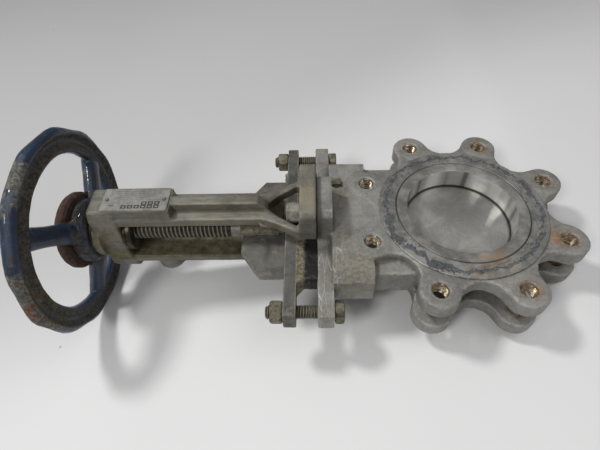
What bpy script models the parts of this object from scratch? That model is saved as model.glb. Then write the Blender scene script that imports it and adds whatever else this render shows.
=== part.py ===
"""A four-inch lugged knife gate valve with a rising stem and a handwheel.

The model is drawn along the stem: +X runs from the middle of the bore towards the handwheel,
Z is the flow axis and Y runs across the gate. The valve_frame empty then turns it half a turn
about Z, so that in the world the handwheel lies towards -X. All sizes are in metres.
"""

from math import atan2, cos, pi, radians, sin, sqrt

import bmesh
import bpy
from mathutils import Matrix, Vector

# ---- overall sizes -------------------------------------------------------------------------
GAP = 0.0003                     # between pieces that touch
OVERSHOOT = 0.010                # of a cutter past the face it opens
OUTSIDE = 0.020                  # clear of a small piece on every side

# flow side
BORE_RADIUS = 0.051
FACE_TO_FACE = 0.0508
RAISED_FACE_RADIUS = 0.0786
RAISED_FACE_HEIGHT = 0.0016
BOLT_CIRCLE_RADIUS = 0.09525
LUG_COUNT = 8
LUG_END_RADIUS = 0.0178
LUG_HOLE_RADIUS = 0.0073
LUG_THICKNESS = 0.015
VALLEY_RADIUS = 0.080            # bottom of the scallop between two lugs

# gate and its cavity
GATE_THICKNESS = 0.0064
GATE_HALF_WIDTH = 0.060
GATE_TOP = 0.212
GATE_TIP = -0.057
GATE_TOP_HALF_WIDTH = 0.033
GATE_CHAMFER_LENGTH = 0.019
GATE_SIDE_CLEARANCE = 0.0013
WALL_BESIDE_GATE = 0.0048
HOUSING_HALF_DEPTH = 0.0146

# seats
SEAT_SLEEVE_WALL = 0.0058
SEAT_FLANGE_RADIUS = 0.0620
SEAT_FLANGE_THICKNESS = 0.0038

# chest and bonnet flange
CHEST_START = 0.088
CHEST_HALF_WIDTH = 0.075
CHEST_HALF_DEPTH = 0.0226
BONNET_BOTTOM = 0.1244
BONNET_TOP = 0.1389
BAR_HALF_LENGTH = 0.1057
BAR_HALF_WIDTH = 0.0107
EAR_HALF_WIDTH = 0.026
EAR_REACH = 0.050

# packing box
PACKING_BOX_DEPTH = 0.026
PACKING_RINGS = 3
PACKING_WALL = 0.0086            # packing width beside the gate's edge
PACKING_HALF_DEPTH = 0.0094
GATE_SLOT_CLEARANCE = 0.0004

# gland
GLAND_PLATE_BOTTOM = 0.158
GLAND_PLATE_THICKNESS = 0.0115
GLAND_BAR_HALF_WIDTH = 0.0113
GLAND_ENTRY = 0.004              # how far the nose reaches into the packing box
GLAND_SHOULDER = 0.007
GLAND_BOLT_SPACING = 0.095
GLAND_BOLT_RADIUS = 0.0062
GLAND_BOLT_FLATS = 0.0184
GLAND_HEAD_HEIGHT = 0.0085
GLAND_NUT_HEIGHT = 0.0112
GLAND_BOLT_PROUD = 0.0038

# yoke
FOOT_THICKNESS = 0.0153
FOOT_HALF_WIDTH = 0.034
FOOT_INNER = 0.0130
FOOT_OUTER = 0.0580
FOOT_CHAMFER = 0.0110
ARM_INNER = 0.0240
ARM_FLANGE_THICKNESS = 0.0097
ARM_HALF_WIDTH = 0.0170
ARM_RIB_HALF_WIDTH = 0.0059
FRONT_RIB_TOP = 0.0435
BACK_RIB_TOP = 0.0500
FLARE_START = 0.190
HEAD_BOTTOM = 0.3300
HEAD_TOP = 0.3546
HEAD_HALF_WIDTH = 0.0195
COLLAR_RADIUS = 0.0265
COLLAR_HEIGHT = 0.0030
PAD_START = 0.2760
PAD_HALF_WIDTH = 0.0148
PAD_TOP = 0.0440
BACK_BOSS_PLACE = 0.2985
BACK_BOSS_RADIUS = 0.0148
BACK_BOSS_TOP = 0.0525
YOKE_BOLT_OFFSET = 0.0218
YOKE_BOLT_RADIUS = 0.0062
YOKE_BOLT_FLATS = 0.0190
YOKE_HEAD_HEIGHT = 0.0132
YOKE_BOLT_REACH = 0.0110         # into the bonnet flange

# stem drive
STEM_RADIUS = 0.009525
THREAD_ROOT_RADIUS = 0.0083
STEM_END = 0.4020
STEM_SHOULDER = 0.2240           # the stem is plain below this and threaded above
CLEVIS_BOTTOM = 0.1760
FORK_TOP = 0.1985
CLEVIS_TOP = 0.2140
CLEVIS_HALF_WIDTH = 0.0125
CLEVIS_HALF_DEPTH = 0.0105
CLEVIS_BOLT_RADIUS = 0.0025
CLEVIS_BOLT_FLATS = 0.0080
CLEVIS_BOLT_PLACES = (0.1815, 0.1920)
CLEVIS_HEAD_HEIGHT = 0.0038
SPIGOT_RADIUS = 0.0075
SPIGOT_BOTTOM = 0.2000
NOTCH_HALF_WIDTH = 0.0135        # in the gate's top edge, round the clevis
NUT_FLANGE_RADIUS = 0.0205
NUT_FLANGE_HEIGHT = 0.0050
NUT_NECK_RADIUS = 0.0165
NUT_TOP = 0.3950
RUNNING_CLEARANCE = 0.0005
WASHER_THICKNESS = 0.0022
KEY_WIDTH = 0.0060
KEY_DEPTH = 0.0030               # into each of the nut and the hub

# handwheel
RIM_RADIUS = 0.0910
RIM_HALF_WIDTH = 0.0135          # radially
RIM_HALF_THICKNESS = 0.0097      # along the stem
RIM_PLACE = 0.3872
RIM_KNUCKLES = 12
RIM_KNUCKLE_HEIGHT = 0.0013
HUB_RADIUS = 0.0325
HUB_HEIGHT = 0.0163
SPOKE_COUNT = 3
FIRST_SPOKE_ANGLE = radians(45.5)
SPOKE_HALF_WIDTH = 0.0098
SPOKE_HALF_THICKNESS = 0.0086
SPOKE_START = 0.3722             # along the stem, at the hub
SPOKE_END = 0.3902
LOCK_NUT_RADIUS = 0.0390
LOCK_NUT_HEIGHT = 0.0112
SPOT_FACE_RADIUS = 0.0400        # round the lock nut, across the spokes

# small pieces
NAMEPLATE_LENGTH = 0.0640
NAMEPLATE_HALF_WIDTH = 0.0143
NAMEPLATE_THICKNESS = 0.0006
NAMEPLATE_START = 0.2775
DRIVE_SCREW_RADIUS = 0.0021
DRIVE_SCREW_INSET = 0.0048
PLUG_PLACE = (0.1180, -0.0380)
PLUG_HALF_SIDE = 0.0042
PLUG_RADIUS = 0.0050
PLUG_DEPTH = 0.0080
PLUG_PROUD = 0.0040

# ---- worked-out places ---------------------------------------------------------------------
HALF_FACE = FACE_TO_FACE / 2
LUG_FACE = HALF_FACE - RAISED_FACE_HEIGHT
LUG_BACK = LUG_FACE - LUG_THICKNESS
GATE_HALF = GATE_THICKNESS / 2
SLOT_HALF = GATE_HALF + GAP
CAVITY_HALF_WIDTH = GATE_HALF_WIDTH + GATE_SIDE_CLEARANCE
HOUSING_HALF_WIDTH = CAVITY_HALF_WIDTH + WALL_BESIDE_GATE
SEAT_SLEEVE_RADIUS = BORE_RADIUS + SEAT_SLEEVE_WALL
BOX_HALF_WIDTH = GATE_HALF_WIDTH + PACKING_WALL
BOX_BOTTOM = BONNET_TOP - PACKING_BOX_DEPTH
GLAND_PLATE_TOP = GLAND_PLATE_BOTTOM + GLAND_PLATE_THICKNESS
FOOT_BOTTOM = BONNET_TOP + GAP
FOOT_TOP = FOOT_BOTTOM + FOOT_THICKNESS
ARM_OUTER = ARM_INNER + ARM_FLANGE_THICKNESS
NUT_FLANGE_TOP = HEAD_BOTTOM - WASHER_THICKNESS - 2 * GAP
COLLAR_TOP = HEAD_TOP + COLLAR_HEIGHT
HUB_BOTTOM = COLLAR_TOP + WASHER_THICKNESS + 2 * GAP
HUB_TOP = HUB_BOTTOM + HUB_HEIGHT
LOCK_NUT_BOTTOM = HUB_TOP + GAP


# ---- scene helpers -------------------------------------------------------------------------
def clear_scene():
    for item in list(bpy.data.objects):
        bpy.data.objects.remove(item)


def finish(name, colour, roughness, metallic):
    """A Principled material in one piece's own colour."""
    made = bpy.data.materials.new(name)
    made.use_nodes = True
    shader = made.node_tree.nodes["Principled BSDF"]
    shader.inputs["Base Color"].default_value = (*colour, 1.0)
    shader.inputs["Roughness"].default_value = roughness
    shader.inputs["Metallic"].default_value = metallic
    return made


STAINLESS = ((0.33, 0.32, 0.29), 0.50, 0.85)
CAST_YOKE = ((0.27, 0.26, 0.21), 0.60, 0.70)
BRUSHED = ((0.62, 0.61, 0.59), 0.22, 1.0)
WEATHERED_BOLT = ((0.30, 0.27, 0.18), 0.65, 0.60)
CRUSTED = ((0.36, 0.31, 0.20), 0.80, 0.20)
BLUE_PAINT = ((0.02, 0.06, 0.16), 0.45, 0.0)
RUST = ((0.20, 0.07, 0.03), 0.85, 0.10)
BRONZE = ((0.45, 0.28, 0.10), 0.40, 1.0)
PALE_PLATE = ((0.60, 0.60, 0.56), 0.40, 0.40)
PACKING_YARN = ((0.10, 0.09, 0.07), 0.90, 0.0)


class Part:
    """Keeps the frame that every object is parented to."""

    frame = None


def add_object(name, bm, look, place=(0, 0, 0)):
    """Turn a bmesh into a named object in the valve's frame."""
    bmesh.ops.recalc_face_normals(bm, faces=bm.faces)
    mesh = bpy.data.meshes.new(name)
    bm.to_mesh(mesh)
    bm.free()
    item = bpy.data.objects.new(name, mesh)
    bpy.context.scene.collection.objects.link(item)
    item.parent = Part.frame
    item.location = place
    if look is None:
        item.hide_render = True
        item.display_type = "WIRE"
    else:
        mesh.materials.append(finish(name, *look))
        mesh.shade_smooth()
        mesh.set_sharp_from_angle(angle=radians(32))
    return item


def change(item, tool, operation):
    """Add or cut a hidden guide object with an exact Boolean."""
    step = item.modifiers.new(tool.name, "BOOLEAN")
    step.operation = operation
    step.object = tool
    step.solver = "EXACT"
    return item


def unite(item, *tools):
    for tool in tools:
        change(item, tool, "UNION")


def cut(item, *tools):
    for tool in tools:
        change(item, tool, "DIFFERENCE")


# ---- outline and solid helpers -------------------------------------------------------------
AXIS_ORDER = {"X": lambda a, b, h: (h, a, b),
              "Y": lambda a, b, h: (a, h, b),
              "Z": lambda a, b, h: (a, b, h)}


def arc(centre, radius, start, end, steps):
    """Points along an arc, both ends included."""
    angles = [start + (end - start) * i / steps for i in range(steps + 1)]
    return [(centre[0] + radius * cos(a), centre[1] + radius * sin(a)) for a in angles]


def circle(radius, steps, centre=(0, 0)):
    return arc(centre, radius, 0, 2 * pi, steps)[:-1]


def box_outline(a0, a1, b0, b1, chamfer=0.0):
    """A rectangle, with its corners cut at 45 degrees where a chamfer is given."""
    if not chamfer:
        return [(a0, b0), (a1, b0), (a1, b1), (a0, b1)]
    c = chamfer
    return [(a0 + c, b0), (a1 - c, b0), (a1, b0 + c), (a1, b1 - c),
            (a1 - c, b1), (a0 + c, b1), (a0, b1 - c), (a0, b0 + c)]


def mirrored(half):
    """Close a half outline, given from one axis crossing to the other, about the second axis."""
    return half + [(-a, b) for a, b in reversed(half) if abs(a) > 1e-9]


def hexagon(across_flats, per_side=1, turn=0.0):
    """Points round a hexagon, so that it can be skinned to a circle of as many points."""
    corners = [Vector((cos(turn + pi * k / 3), sin(turn + pi * k / 3))) * across_flats / sqrt(3)
               for k in range(6)]
    points = []
    for k in range(6):
        for i in range(per_side):
            points.append(tuple(corners[k].lerp(corners[(k + 1) % 6], i / per_side)))
    return points


def raised(outline, axis, height):
    return [AXIS_ORDER[axis](a, b, height) for a, b in outline]


def add_skin(bm, loops, ring=False):
    """Skin loops of equal length with quads; close the ends, or the skin itself for a ring."""
    rows = [[bm.verts.new(p) for p in loop] for loop in loops]
    count = len(rows[0])
    pairs = list(zip(rows, rows[1:])) + ([(rows[-1], rows[0])] if ring else [])
    for lower, upper in pairs:
        for i in range(count):
            j = (i + 1) % count
            bm.faces.new((lower[i], lower[j], upper[j], upper[i]))
    if not ring:
        bm.faces.new(rows[0][::-1])
        bm.faces.new(rows[-1])


def skin(name, loops, look, ring=False):
    bm = bmesh.new()
    add_skin(bm, loops, ring)
    return add_object(name, bm, look)


def prism(name, outline, axis, low, high, look=None):
    """An outline extruded along an axis."""
    return skin(name, [raised(outline, axis, low), raised(outline, axis, high)], look)


def turned(name, profile, axis, steps, look=None, ring=False, centre=(0, 0)):
    """A profile of (place along the axis, radius) turned about the axis."""
    loops = [raised(circle(radius, steps, centre), axis, place) for place, radius in profile]
    return skin(name, loops, look, ring)


def tube(name, low, high, inner, outer, steps, look, chamfer=0.0005):
    """A plain ring about the stem axis with its outer edges broken."""
    profile = [(low, inner), (low, outer - chamfer), (low + chamfer, outer),
               (high - chamfer, outer), (high, outer - chamfer), (high, inner)]
    return turned(name, profile, "X", steps, look, ring=True)


def drills(name, places, radius, axis, low, high, steps=20):
    """Several round cutters in one hidden object."""
    bm = bmesh.new()
    for centre in places:
        hole = circle(radius, steps, centre)
        add_skin(bm, [raised(hole, axis, low), raised(hole, axis, high)])
    return add_object(name, bm, None)


def soften(item, width, segments=2, angle=40):
    """Round an object's edges."""
    step = item.modifiers.new("edges", "BEVEL")
    step.width = width
    step.segments = segments
    step.limit_method = "ANGLE"
    step.angle_limit = radians(angle)


def lug_centres():
    """Bolt centres straddle the stem axis by half a pitch."""
    turn = 2 * pi / LUG_COUNT
    return [(BOLT_CIRCLE_RADIUS * cos(turn * (k + 0.5)), BOLT_CIRCLE_RADIUS * sin(turn * (k + 0.5)))
            for k in range(LUG_COUNT)]


def petal_outline():
    """Round-ended lugs joined by scallops that are tangent to them."""
    turn = 2 * pi / LUG_COUNT
    along, aside = BOLT_CIRCLE_RADIUS * cos(turn / 2), BOLT_CIRCLE_RADIUS * sin(turn / 2)
    reach = along - VALLEY_RADIUS
    scallop = (reach ** 2 + aside ** 2 - LUG_END_RADIUS ** 2) / (2 * (LUG_END_RADIUS + reach))
    middle = VALLEY_RADIUS + scallop
    lean = atan2(aside, along - middle)
    points = []
    for k in range(LUG_COUNT):
        valley = turn * k
        lug = valley + turn / 2
        lug_centre = (BOLT_CIRCLE_RADIUS * cos(lug), BOLT_CIRCLE_RADIUS * sin(lug))
        valley_centre = (middle * cos(valley), middle * sin(valley))
        points += arc(valley_centre, scallop, valley + 2 * pi - lean, valley + lean, 8)
        sweep = pi - lean + turn / 2
        points += arc(lug_centre, LUG_END_RADIUS, lug - sweep, lug + sweep, 12)[1:-1]
    return points


# ---- body and seats ------------------------------------------------------------------------
def stadium(radius, centre, top):
    """Half round about a centre on the stem axis, then straight up to the top."""
    return arc((centre, 0), radius, pi / 2, 3 * pi / 2, 28) + [(top, -radius), (top, radius)]


def bonnet_outline():
    fillet = 0.006
    ear_side = EAR_HALF_WIDTH
    bar = box_outline(0, BAR_HALF_LENGTH, 0, BAR_HALF_WIDTH)[1:3]
    inner = arc((ear_side + fillet, BAR_HALF_WIDTH + fillet), fillet, -pi / 2, -pi, 4)
    quarter = bar + inner + [(ear_side, EAR_REACH - 0.005), (ear_side - 0.005, EAR_REACH)]
    front = mirrored(quarter[1:])
    return front + [(a, -b) for a, b in reversed(front)]


def make_body():
    body = prism("body", stadium(HOUSING_HALF_WIDTH, 0, CHEST_START + 0.004), "Z",
                 -HOUSING_HALF_DEPTH, HOUSING_HALF_DEPTH, STAINLESS)
    chest_outline = box_outline(-CHEST_HALF_WIDTH, CHEST_HALF_WIDTH,
                                -CHEST_HALF_DEPTH, CHEST_HALF_DEPTH, 0.0085)
    chest = prism("body_chest", chest_outline, "X", CHEST_START, BONNET_BOTTOM + 0.001)
    web_half_width = BOLT_CIRCLE_RADIUS * sin(pi / LUG_COUNT)
    web = prism("body_web", box_outline(RAISED_FACE_RADIUS - 0.012, CHEST_START + 0.001,
                                        -web_half_width, web_half_width),
                "Z", -CHEST_HALF_DEPTH, CHEST_HALF_DEPTH)
    bonnet = prism("body_bonnet", bonnet_outline(), "X", BONNET_BOTTOM, BONNET_TOP)
    unite(body, chest, web, bonnet)
    for side, word in ((1, "front"), (-1, "rear")):
        plate = prism(f"body_{word}_lugs", petal_outline(), "Z", side * LUG_BACK, side * LUG_FACE)
        face = turned(f"body_{word}_face", [(side * (LUG_FACE - 0.004), RAISED_FACE_RADIUS),
                                            (side * HALF_FACE, RAISED_FACE_RADIUS)], "Z", 64)
        unite(body, plate, face)
    slot = prism("cut_slot", stadium(CAVITY_HALF_WIDTH, 0, BONNET_TOP + OVERSHOOT), "Z",
                 -SLOT_HALF, SLOT_HALF)
    box = prism("cut_box", box_outline(-BOX_HALF_WIDTH, BOX_HALF_WIDTH,
                                       -PACKING_HALF_DEPTH, PACKING_HALF_DEPTH, 0.002),
                "X", BOX_BOTTOM, BONNET_TOP + OVERSHOOT)
    seat_hole = SEAT_SLEEVE_RADIUS + GAP
    bore = turned("cut_bore", [(-HALF_FACE - OVERSHOOT, seat_hole), (HALF_FACE + OVERSHOOT, seat_hole)],
                  "Z", 64)
    cut(body, slot, box, bore)
    for side, word in ((1, "front"), (-1, "rear")):
        step = HALF_FACE - SEAT_FLANGE_THICKNESS - GAP
        recess = turned(f"cut_{word}_seat", [(side * step, SEAT_FLANGE_RADIUS + GAP),
                                             (side * (HALF_FACE + OVERSHOOT), SEAT_FLANGE_RADIUS + GAP)],
                        "Z", 64)
        holes = drills(f"cut_{word}_lug_holes", lug_centres(), LUG_HOLE_RADIUS, "Z",
                       side * (LUG_BACK - 0.0005), side * (LUG_FACE + OVERSHOOT), 18)
        cut(body, recess, holes)
    gland_holes = drills("cut_gland_holes", [(GLAND_BOLT_SPACING, 0), (-GLAND_BOLT_SPACING, 0)],
                         GLAND_BOLT_RADIUS + GAP, "X", BONNET_BOTTOM - OVERSHOOT, BONNET_TOP + OVERSHOOT)
    yoke_holes = drills("cut_yoke_holes", [(0, YOKE_BOLT_OFFSET), (0, -YOKE_BOLT_OFFSET)],
                        YOKE_BOLT_RADIUS + GAP, "X",
                        BONNET_TOP - YOKE_BOLT_REACH - 2 * GAP, BONNET_TOP + OVERSHOOT)
    plug_hole = drills("cut_plug_hole", [PLUG_PLACE], PLUG_RADIUS + GAP, "Z",
                       CHEST_HALF_DEPTH - PLUG_DEPTH - 2 * GAP, CHEST_HALF_DEPTH + OVERSHOOT)
    cut(body, gland_holes, yoke_holes, plug_hole)


def make_seat_rings():
    for side, word in ((1, "front"), (-1, "rear")):
        step = HALF_FACE - SEAT_FLANGE_THICKNESS
        profile = [(side * SLOT_HALF, BORE_RADIUS), (side * SLOT_HALF, SEAT_SLEEVE_RADIUS),
                   (side * step, SEAT_SLEEVE_RADIUS), (side * step, SEAT_FLANGE_RADIUS),
                   (side * HALF_FACE, SEAT_FLANGE_RADIUS), (side * HALF_FACE, BORE_RADIUS)]
        turned(f"seat_ring_{word}", profile, "Z", 64, BRUSHED, ring=True)


def make_plug():
    """A square-headed plug in the flushing port beside the bonnet flange."""
    steps = 4
    square = [(PLUG_PLACE[0] + a, PLUG_PLACE[1] + b) for a, b in
              [(PLUG_HALF_SIDE * (1 - 2 * i / steps) * u - PLUG_HALF_SIDE * v,
                PLUG_HALF_SIDE * (1 - 2 * i / steps) * v + PLUG_HALF_SIDE * u)
               for u, v in ((0, 1), (-1, 0), (0, -1), (1, 0)) for i in range(steps)]]
    start = atan2(square[0][1] - PLUG_PLACE[1], square[0][0] - PLUG_PLACE[0])
    round_end = arc(PLUG_PLACE, PLUG_RADIUS, start, start + 2 * pi, 4 * steps)[:-1]
    base = CHEST_HALF_DEPTH
    skin("purge_plug", [raised(round_end, "Z", base - PLUG_DEPTH), raised(round_end, "Z", base + GAP),
                        raised(square, "Z", base + 2 * GAP),
                        raised(square, "Z", base + PLUG_PROUD)], WEATHERED_BOLT)


# ---- packing and gland ---------------------------------------------------------------------
def frame_ring(name, low, high, half_width, half_depth, look):
    """A rectangular ring round the gate, filling the packing box."""
    inner = box_outline(-GATE_HALF_WIDTH - GATE_SLOT_CLEARANCE, GATE_HALF_WIDTH + GATE_SLOT_CLEARANCE,
                        -GATE_HALF - GATE_SLOT_CLEARANCE, GATE_HALF + GATE_SLOT_CLEARANCE, 0.0005)
    outer = box_outline(-half_width, half_width, -half_depth, half_depth, 0.0025)
    return skin(name, [raised(inner, "X", low), raised(outer, "X", low),
                       raised(outer, "X", high), raised(inner, "X", high)], look, ring=True)


def make_packing():
    room = PACKING_BOX_DEPTH - GLAND_ENTRY - GAP
    pitch = room / PACKING_RINGS
    for k in range(PACKING_RINGS):
        low = BOX_BOTTOM + GAP + k * pitch
        frame_ring(f"packing_ring_{k + 1}", low, low + pitch - GAP,
                   BOX_HALF_WIDTH - GAP, PACKING_HALF_DEPTH - GAP, PACKING_YARN)


def gland_bar_outline():
    quarter_end = arc((BAR_HALF_LENGTH - 0.004, GLAND_BAR_HALF_WIDTH - 0.004), 0.004, 0, pi / 2, 3)
    top = mirrored(quarter_end)
    return top + [(a, -b) for a, b in reversed(top)]


def make_gland():
    gland = prism("gland_follower", gland_bar_outline(), "X", GLAND_PLATE_BOTTOM, GLAND_PLATE_TOP,
                  CRUSTED)
    nose_width, nose_depth = BOX_HALF_WIDTH - GAP, PACKING_HALF_DEPTH - GAP
    nose = prism("gland_nose", box_outline(-nose_width, nose_width, -nose_depth, nose_depth, 0.0025),
                 "X", BONNET_TOP - GLAND_ENTRY, GLAND_PLATE_BOTTOM + 0.001)
    shoulder_base = box_outline(-BOX_HALF_WIDTH, BOX_HALF_WIDTH, -nose_depth, nose_depth, 0.003)
    shoulder_top = box_outline(-BOX_HALF_WIDTH - 0.008, BOX_HALF_WIDTH + 0.008,
                               -GLAND_BAR_HALF_WIDTH + GAP, GLAND_BAR_HALF_WIDTH - GAP, 0.003)
    shoulder = skin("gland_shoulder", [raised(shoulder_base, "X", GLAND_PLATE_BOTTOM - GLAND_SHOULDER),
                                       raised(shoulder_top, "X", GLAND_PLATE_BOTTOM + 0.001)], None)
    unite(gland, nose, shoulder)
    slot_width = GATE_HALF_WIDTH + GATE_SLOT_CLEARANCE
    slot_depth = GATE_HALF + GATE_SLOT_CLEARANCE
    slot = prism("cut_gland_slot", box_outline(-slot_width, slot_width, -slot_depth, slot_depth),
                 "X", BONNET_TOP - OVERSHOOT, GLAND_PLATE_TOP + OVERSHOOT)
    holes = drills("cut_gland_plate_holes", [(GLAND_BOLT_SPACING, 0), (-GLAND_BOLT_SPACING, 0)],
                   GLAND_BOLT_RADIUS + GAP, "X",
                   GLAND_PLATE_BOTTOM - OVERSHOOT, GLAND_PLATE_TOP + OVERSHOOT)
    cut(gland, slot, holes)


# ---- fasteners -----------------------------------------------------------------------------
def shifted(outline, centre):
    return [(a + centre[0], b + centre[1]) for a, b in outline]


def hex_bolt(name, axis, centre, head_low, head_high, end, radius, flats, per_side=3, turn=0.0,
             look=WEATHERED_BOLT):
    """A hex-headed bolt from its head's outer face, through head_high, to the shank's end."""
    count = 6 * per_side
    hexed = shifted(hexagon(flats, per_side, turn), centre)
    crown = arc(centre, flats / 2 * 0.96, turn, turn + 2 * pi, count)[:-1]
    shank = arc(centre, radius, turn, turn + 2 * pi, count)[:-1]
    tip = arc(centre, radius - 0.001, turn, turn + 2 * pi, count)[:-1]
    way = 1 if end > head_high else -1
    skin(name, [raised(crown, axis, head_low), raised(hexed, axis, head_low + way * 0.0010),
                raised(hexed, axis, head_high), raised(shank, axis, head_high),
                raised(shank, axis, end - way * 0.001), raised(tip, axis, end)], look)


def hex_nut(name, axis, centre, low, high, bore, flats, per_side=3, turn=0.0, look=WEATHERED_BOLT):
    count = 6 * per_side
    hexed = shifted(hexagon(flats, per_side, turn), centre)
    crown = arc(centre, flats / 2 * 0.96, turn, turn + 2 * pi, count)[:-1]
    hole = arc(centre, bore, turn, turn + 2 * pi, count)[:-1]
    skin(name, [raised(hole, axis, low), raised(hexed, axis, low), raised(hexed, axis, high - 0.001),
                raised(crown, axis, high), raised(hole, axis, high)], look, ring=True)


def make_gland_bolts():
    top = GLAND_PLATE_TOP + GAP + GLAND_NUT_HEIGHT + GLAND_BOLT_PROUD
    for side, word in ((1, "left"), (-1, "right")):
        centre = (side * GLAND_BOLT_SPACING, 0)
        hex_bolt(f"gland_bolt_{word}", "X", centre, BONNET_BOTTOM - GAP - GLAND_HEAD_HEIGHT,
                 BONNET_BOTTOM - GAP, top, GLAND_BOLT_RADIUS, GLAND_BOLT_FLATS, turn=radians(12))
        nut_low = GLAND_PLATE_TOP + GAP
        hex_nut(f"gland_nut_{word}", "X", centre, nut_low, nut_low + GLAND_NUT_HEIGHT,
                GLAND_BOLT_RADIUS + GAP, GLAND_BOLT_FLATS, turn=radians(20))


def make_yoke_bolts():
    for side, word in ((1, "front"), (-1, "rear")):
        hex_bolt(f"yoke_bolt_{word}", "X", (0, side * YOKE_BOLT_OFFSET),
                 FOOT_TOP + GAP + YOKE_HEAD_HEIGHT, FOOT_TOP + GAP, BONNET_TOP - YOKE_BOLT_REACH,
                 YOKE_BOLT_RADIUS, YOKE_BOLT_FLATS, turn=0.0)


# ---- yoke ----------------------------------------------------------------------------------
def arm_outline():
    """Plan of one arm: parallel sides that flare in a curve to the foot."""
    run = FLARE_START - FOOT_TOP
    spread = FOOT_HALF_WIDTH - ARM_HALF_WIDTH
    side = [(ARM_HALF_WIDTH, HEAD_BOTTOM + 0.005), (ARM_HALF_WIDTH, FLARE_START)]
    for i in range(1, 9):
        t = i / 8
        side.append((ARM_HALF_WIDTH + spread * t ** 1.25, FLARE_START - run * t))
    side.append((FOOT_HALF_WIDTH, FOOT_BOTTOM + 0.003))
    return [(b, a) for a, b in mirrored(side)]


def pocket_outline():
    """The bolt pocket between the two legs of the foot."""
    leg = 0.0062
    half = FOOT_HALF_WIDTH - leg
    return [(FLARE_START - 0.004, -0.002), (FLARE_START - 0.004, 0.002), (FLARE_START - 0.014, 0.012),
            (FOOT_TOP + 0.003, half - 0.003), (FOOT_TOP, half - 0.006),
            (FOOT_TOP, 0.006 - half), (FOOT_TOP + 0.003, 0.003 - half), (FLARE_START - 0.014, -0.012)]


def make_yoke():
    head_side = HEAD_HALF_WIDTH
    shoulder = ARM_OUTER
    front = [(head_side, 0), (head_side, shoulder), (PAD_HALF_WIDTH, PAD_TOP)]
    back = [(ARM_RIB_HALF_WIDTH + 0.004, -BACK_RIB_TOP), (head_side, -shoulder)]
    outline = mirrored(back + front)
    yoke = prism("yoke", outline, "X", HEAD_BOTTOM, HEAD_TOP, CAST_YOKE)
    soften(yoke, 0.0025, 2)
    pad_low = [(PAD_HALF_WIDTH + 0.0018, ARM_INNER + 0.002), (PAD_HALF_WIDTH, PAD_TOP)]
    pad = prism("yoke_pad", mirrored(pad_low), "X", PAD_START, HEAD_TOP - 0.003)
    collar = turned("yoke_collar", [(HEAD_TOP - 0.004, COLLAR_RADIUS), (COLLAR_TOP, COLLAR_RADIUS)],
                    "X", 48)
    boss = turned("yoke_back_boss", [(-BACK_BOSS_TOP, BACK_BOSS_RADIUS - 0.001),
                                     (-BACK_BOSS_TOP + 0.001, BACK_BOSS_RADIUS),
                                     (-ARM_INNER - 0.003, BACK_BOSS_RADIUS)],
                  "Z", 32, centre=(BACK_BOSS_PLACE, 0))
    unite(yoke, collar, pad, boss)
    for side, word, rib_top in ((1, "front", FRONT_RIB_TOP), (-1, "rear", BACK_RIB_TOP)):
        flange = prism(f"yoke_{word}_arm", arm_outline(), "Z", side * ARM_INNER, side * ARM_OUTER)
        rib = prism(f"yoke_{word}_rib",
                    [(FLARE_START - 0.006, side * (ARM_OUTER - 0.001)),
                     (FLARE_START + 0.004, side * rib_top), (HEAD_BOTTOM + 0.004, side * rib_top),
                     (HEAD_BOTTOM + 0.004, side * (ARM_INNER + 0.001)),
                     (FLARE_START - 0.006, side * (ARM_INNER + 0.001))],
                    "Y", -ARM_RIB_HALF_WIDTH, ARM_RIB_HALF_WIDTH)
        foot_half = [(FOOT_HALF_WIDTH - FOOT_CHAMFER, side * FOOT_INNER),
                     (FOOT_HALF_WIDTH, side * (FOOT_INNER + FOOT_CHAMFER)),
                     (FOOT_HALF_WIDTH, side * (FOOT_OUTER - 0.004)),
                     (FOOT_HALF_WIDTH - 0.004, side * FOOT_OUTER)]
        foot = prism(f"yoke_{word}_foot", mirrored(foot_half), "X", FOOT_BOTTOM, FOOT_TOP)
        floor = prism(f"yoke_{word}_floor",
                      [(FLARE_START + 0.002, side * (ARM_INNER + 0.004)),
                       (FLARE_START + 0.002, side * ARM_INNER),
                       (FOOT_TOP + 0.016, side * (FOOT_INNER + 0.0015)),
                       (FOOT_TOP + 0.016, side * (FOOT_INNER + 0.0055))],
                      "Y", -0.020, 0.020)
        unite(yoke, flange)
        pocket = prism(f"cut_{word}_pocket", pocket_outline(), "Z",
                       side * (ARM_INNER - 0.02), side * (rib_top + OVERSHOOT))
        cut(yoke, pocket)
        unite(yoke, rib, foot, floor)
    nut_bore = drills("cut_nut_bore", [(0, 0)], NUT_NECK_RADIUS + RUNNING_CLEARANCE, "X",
                      HEAD_BOTTOM - OVERSHOOT, COLLAR_TOP + OVERSHOOT, 36)
    foot_holes = drills("cut_foot_holes", [(0, YOKE_BOLT_OFFSET), (0, -YOKE_BOLT_OFFSET)],
                        YOKE_BOLT_RADIUS + GAP, "X", FOOT_BOTTOM - OVERSHOOT, FOOT_TOP + OVERSHOOT)
    screw_holes = drills("cut_screw_holes", nameplate_screw_places(), DRIVE_SCREW_RADIUS * 0.6 + GAP,
                         "Z", PAD_TOP - 0.006, PAD_TOP + OVERSHOOT, 12)
    cut(yoke, nut_bore, foot_holes, screw_holes)


def nameplate_screw_places():
    middle = NAMEPLATE_START + NAMEPLATE_LENGTH / 2
    reach = NAMEPLATE_LENGTH / 2 - DRIVE_SCREW_INSET
    return [(middle - reach, 0), (middle + reach, 0)]


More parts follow.
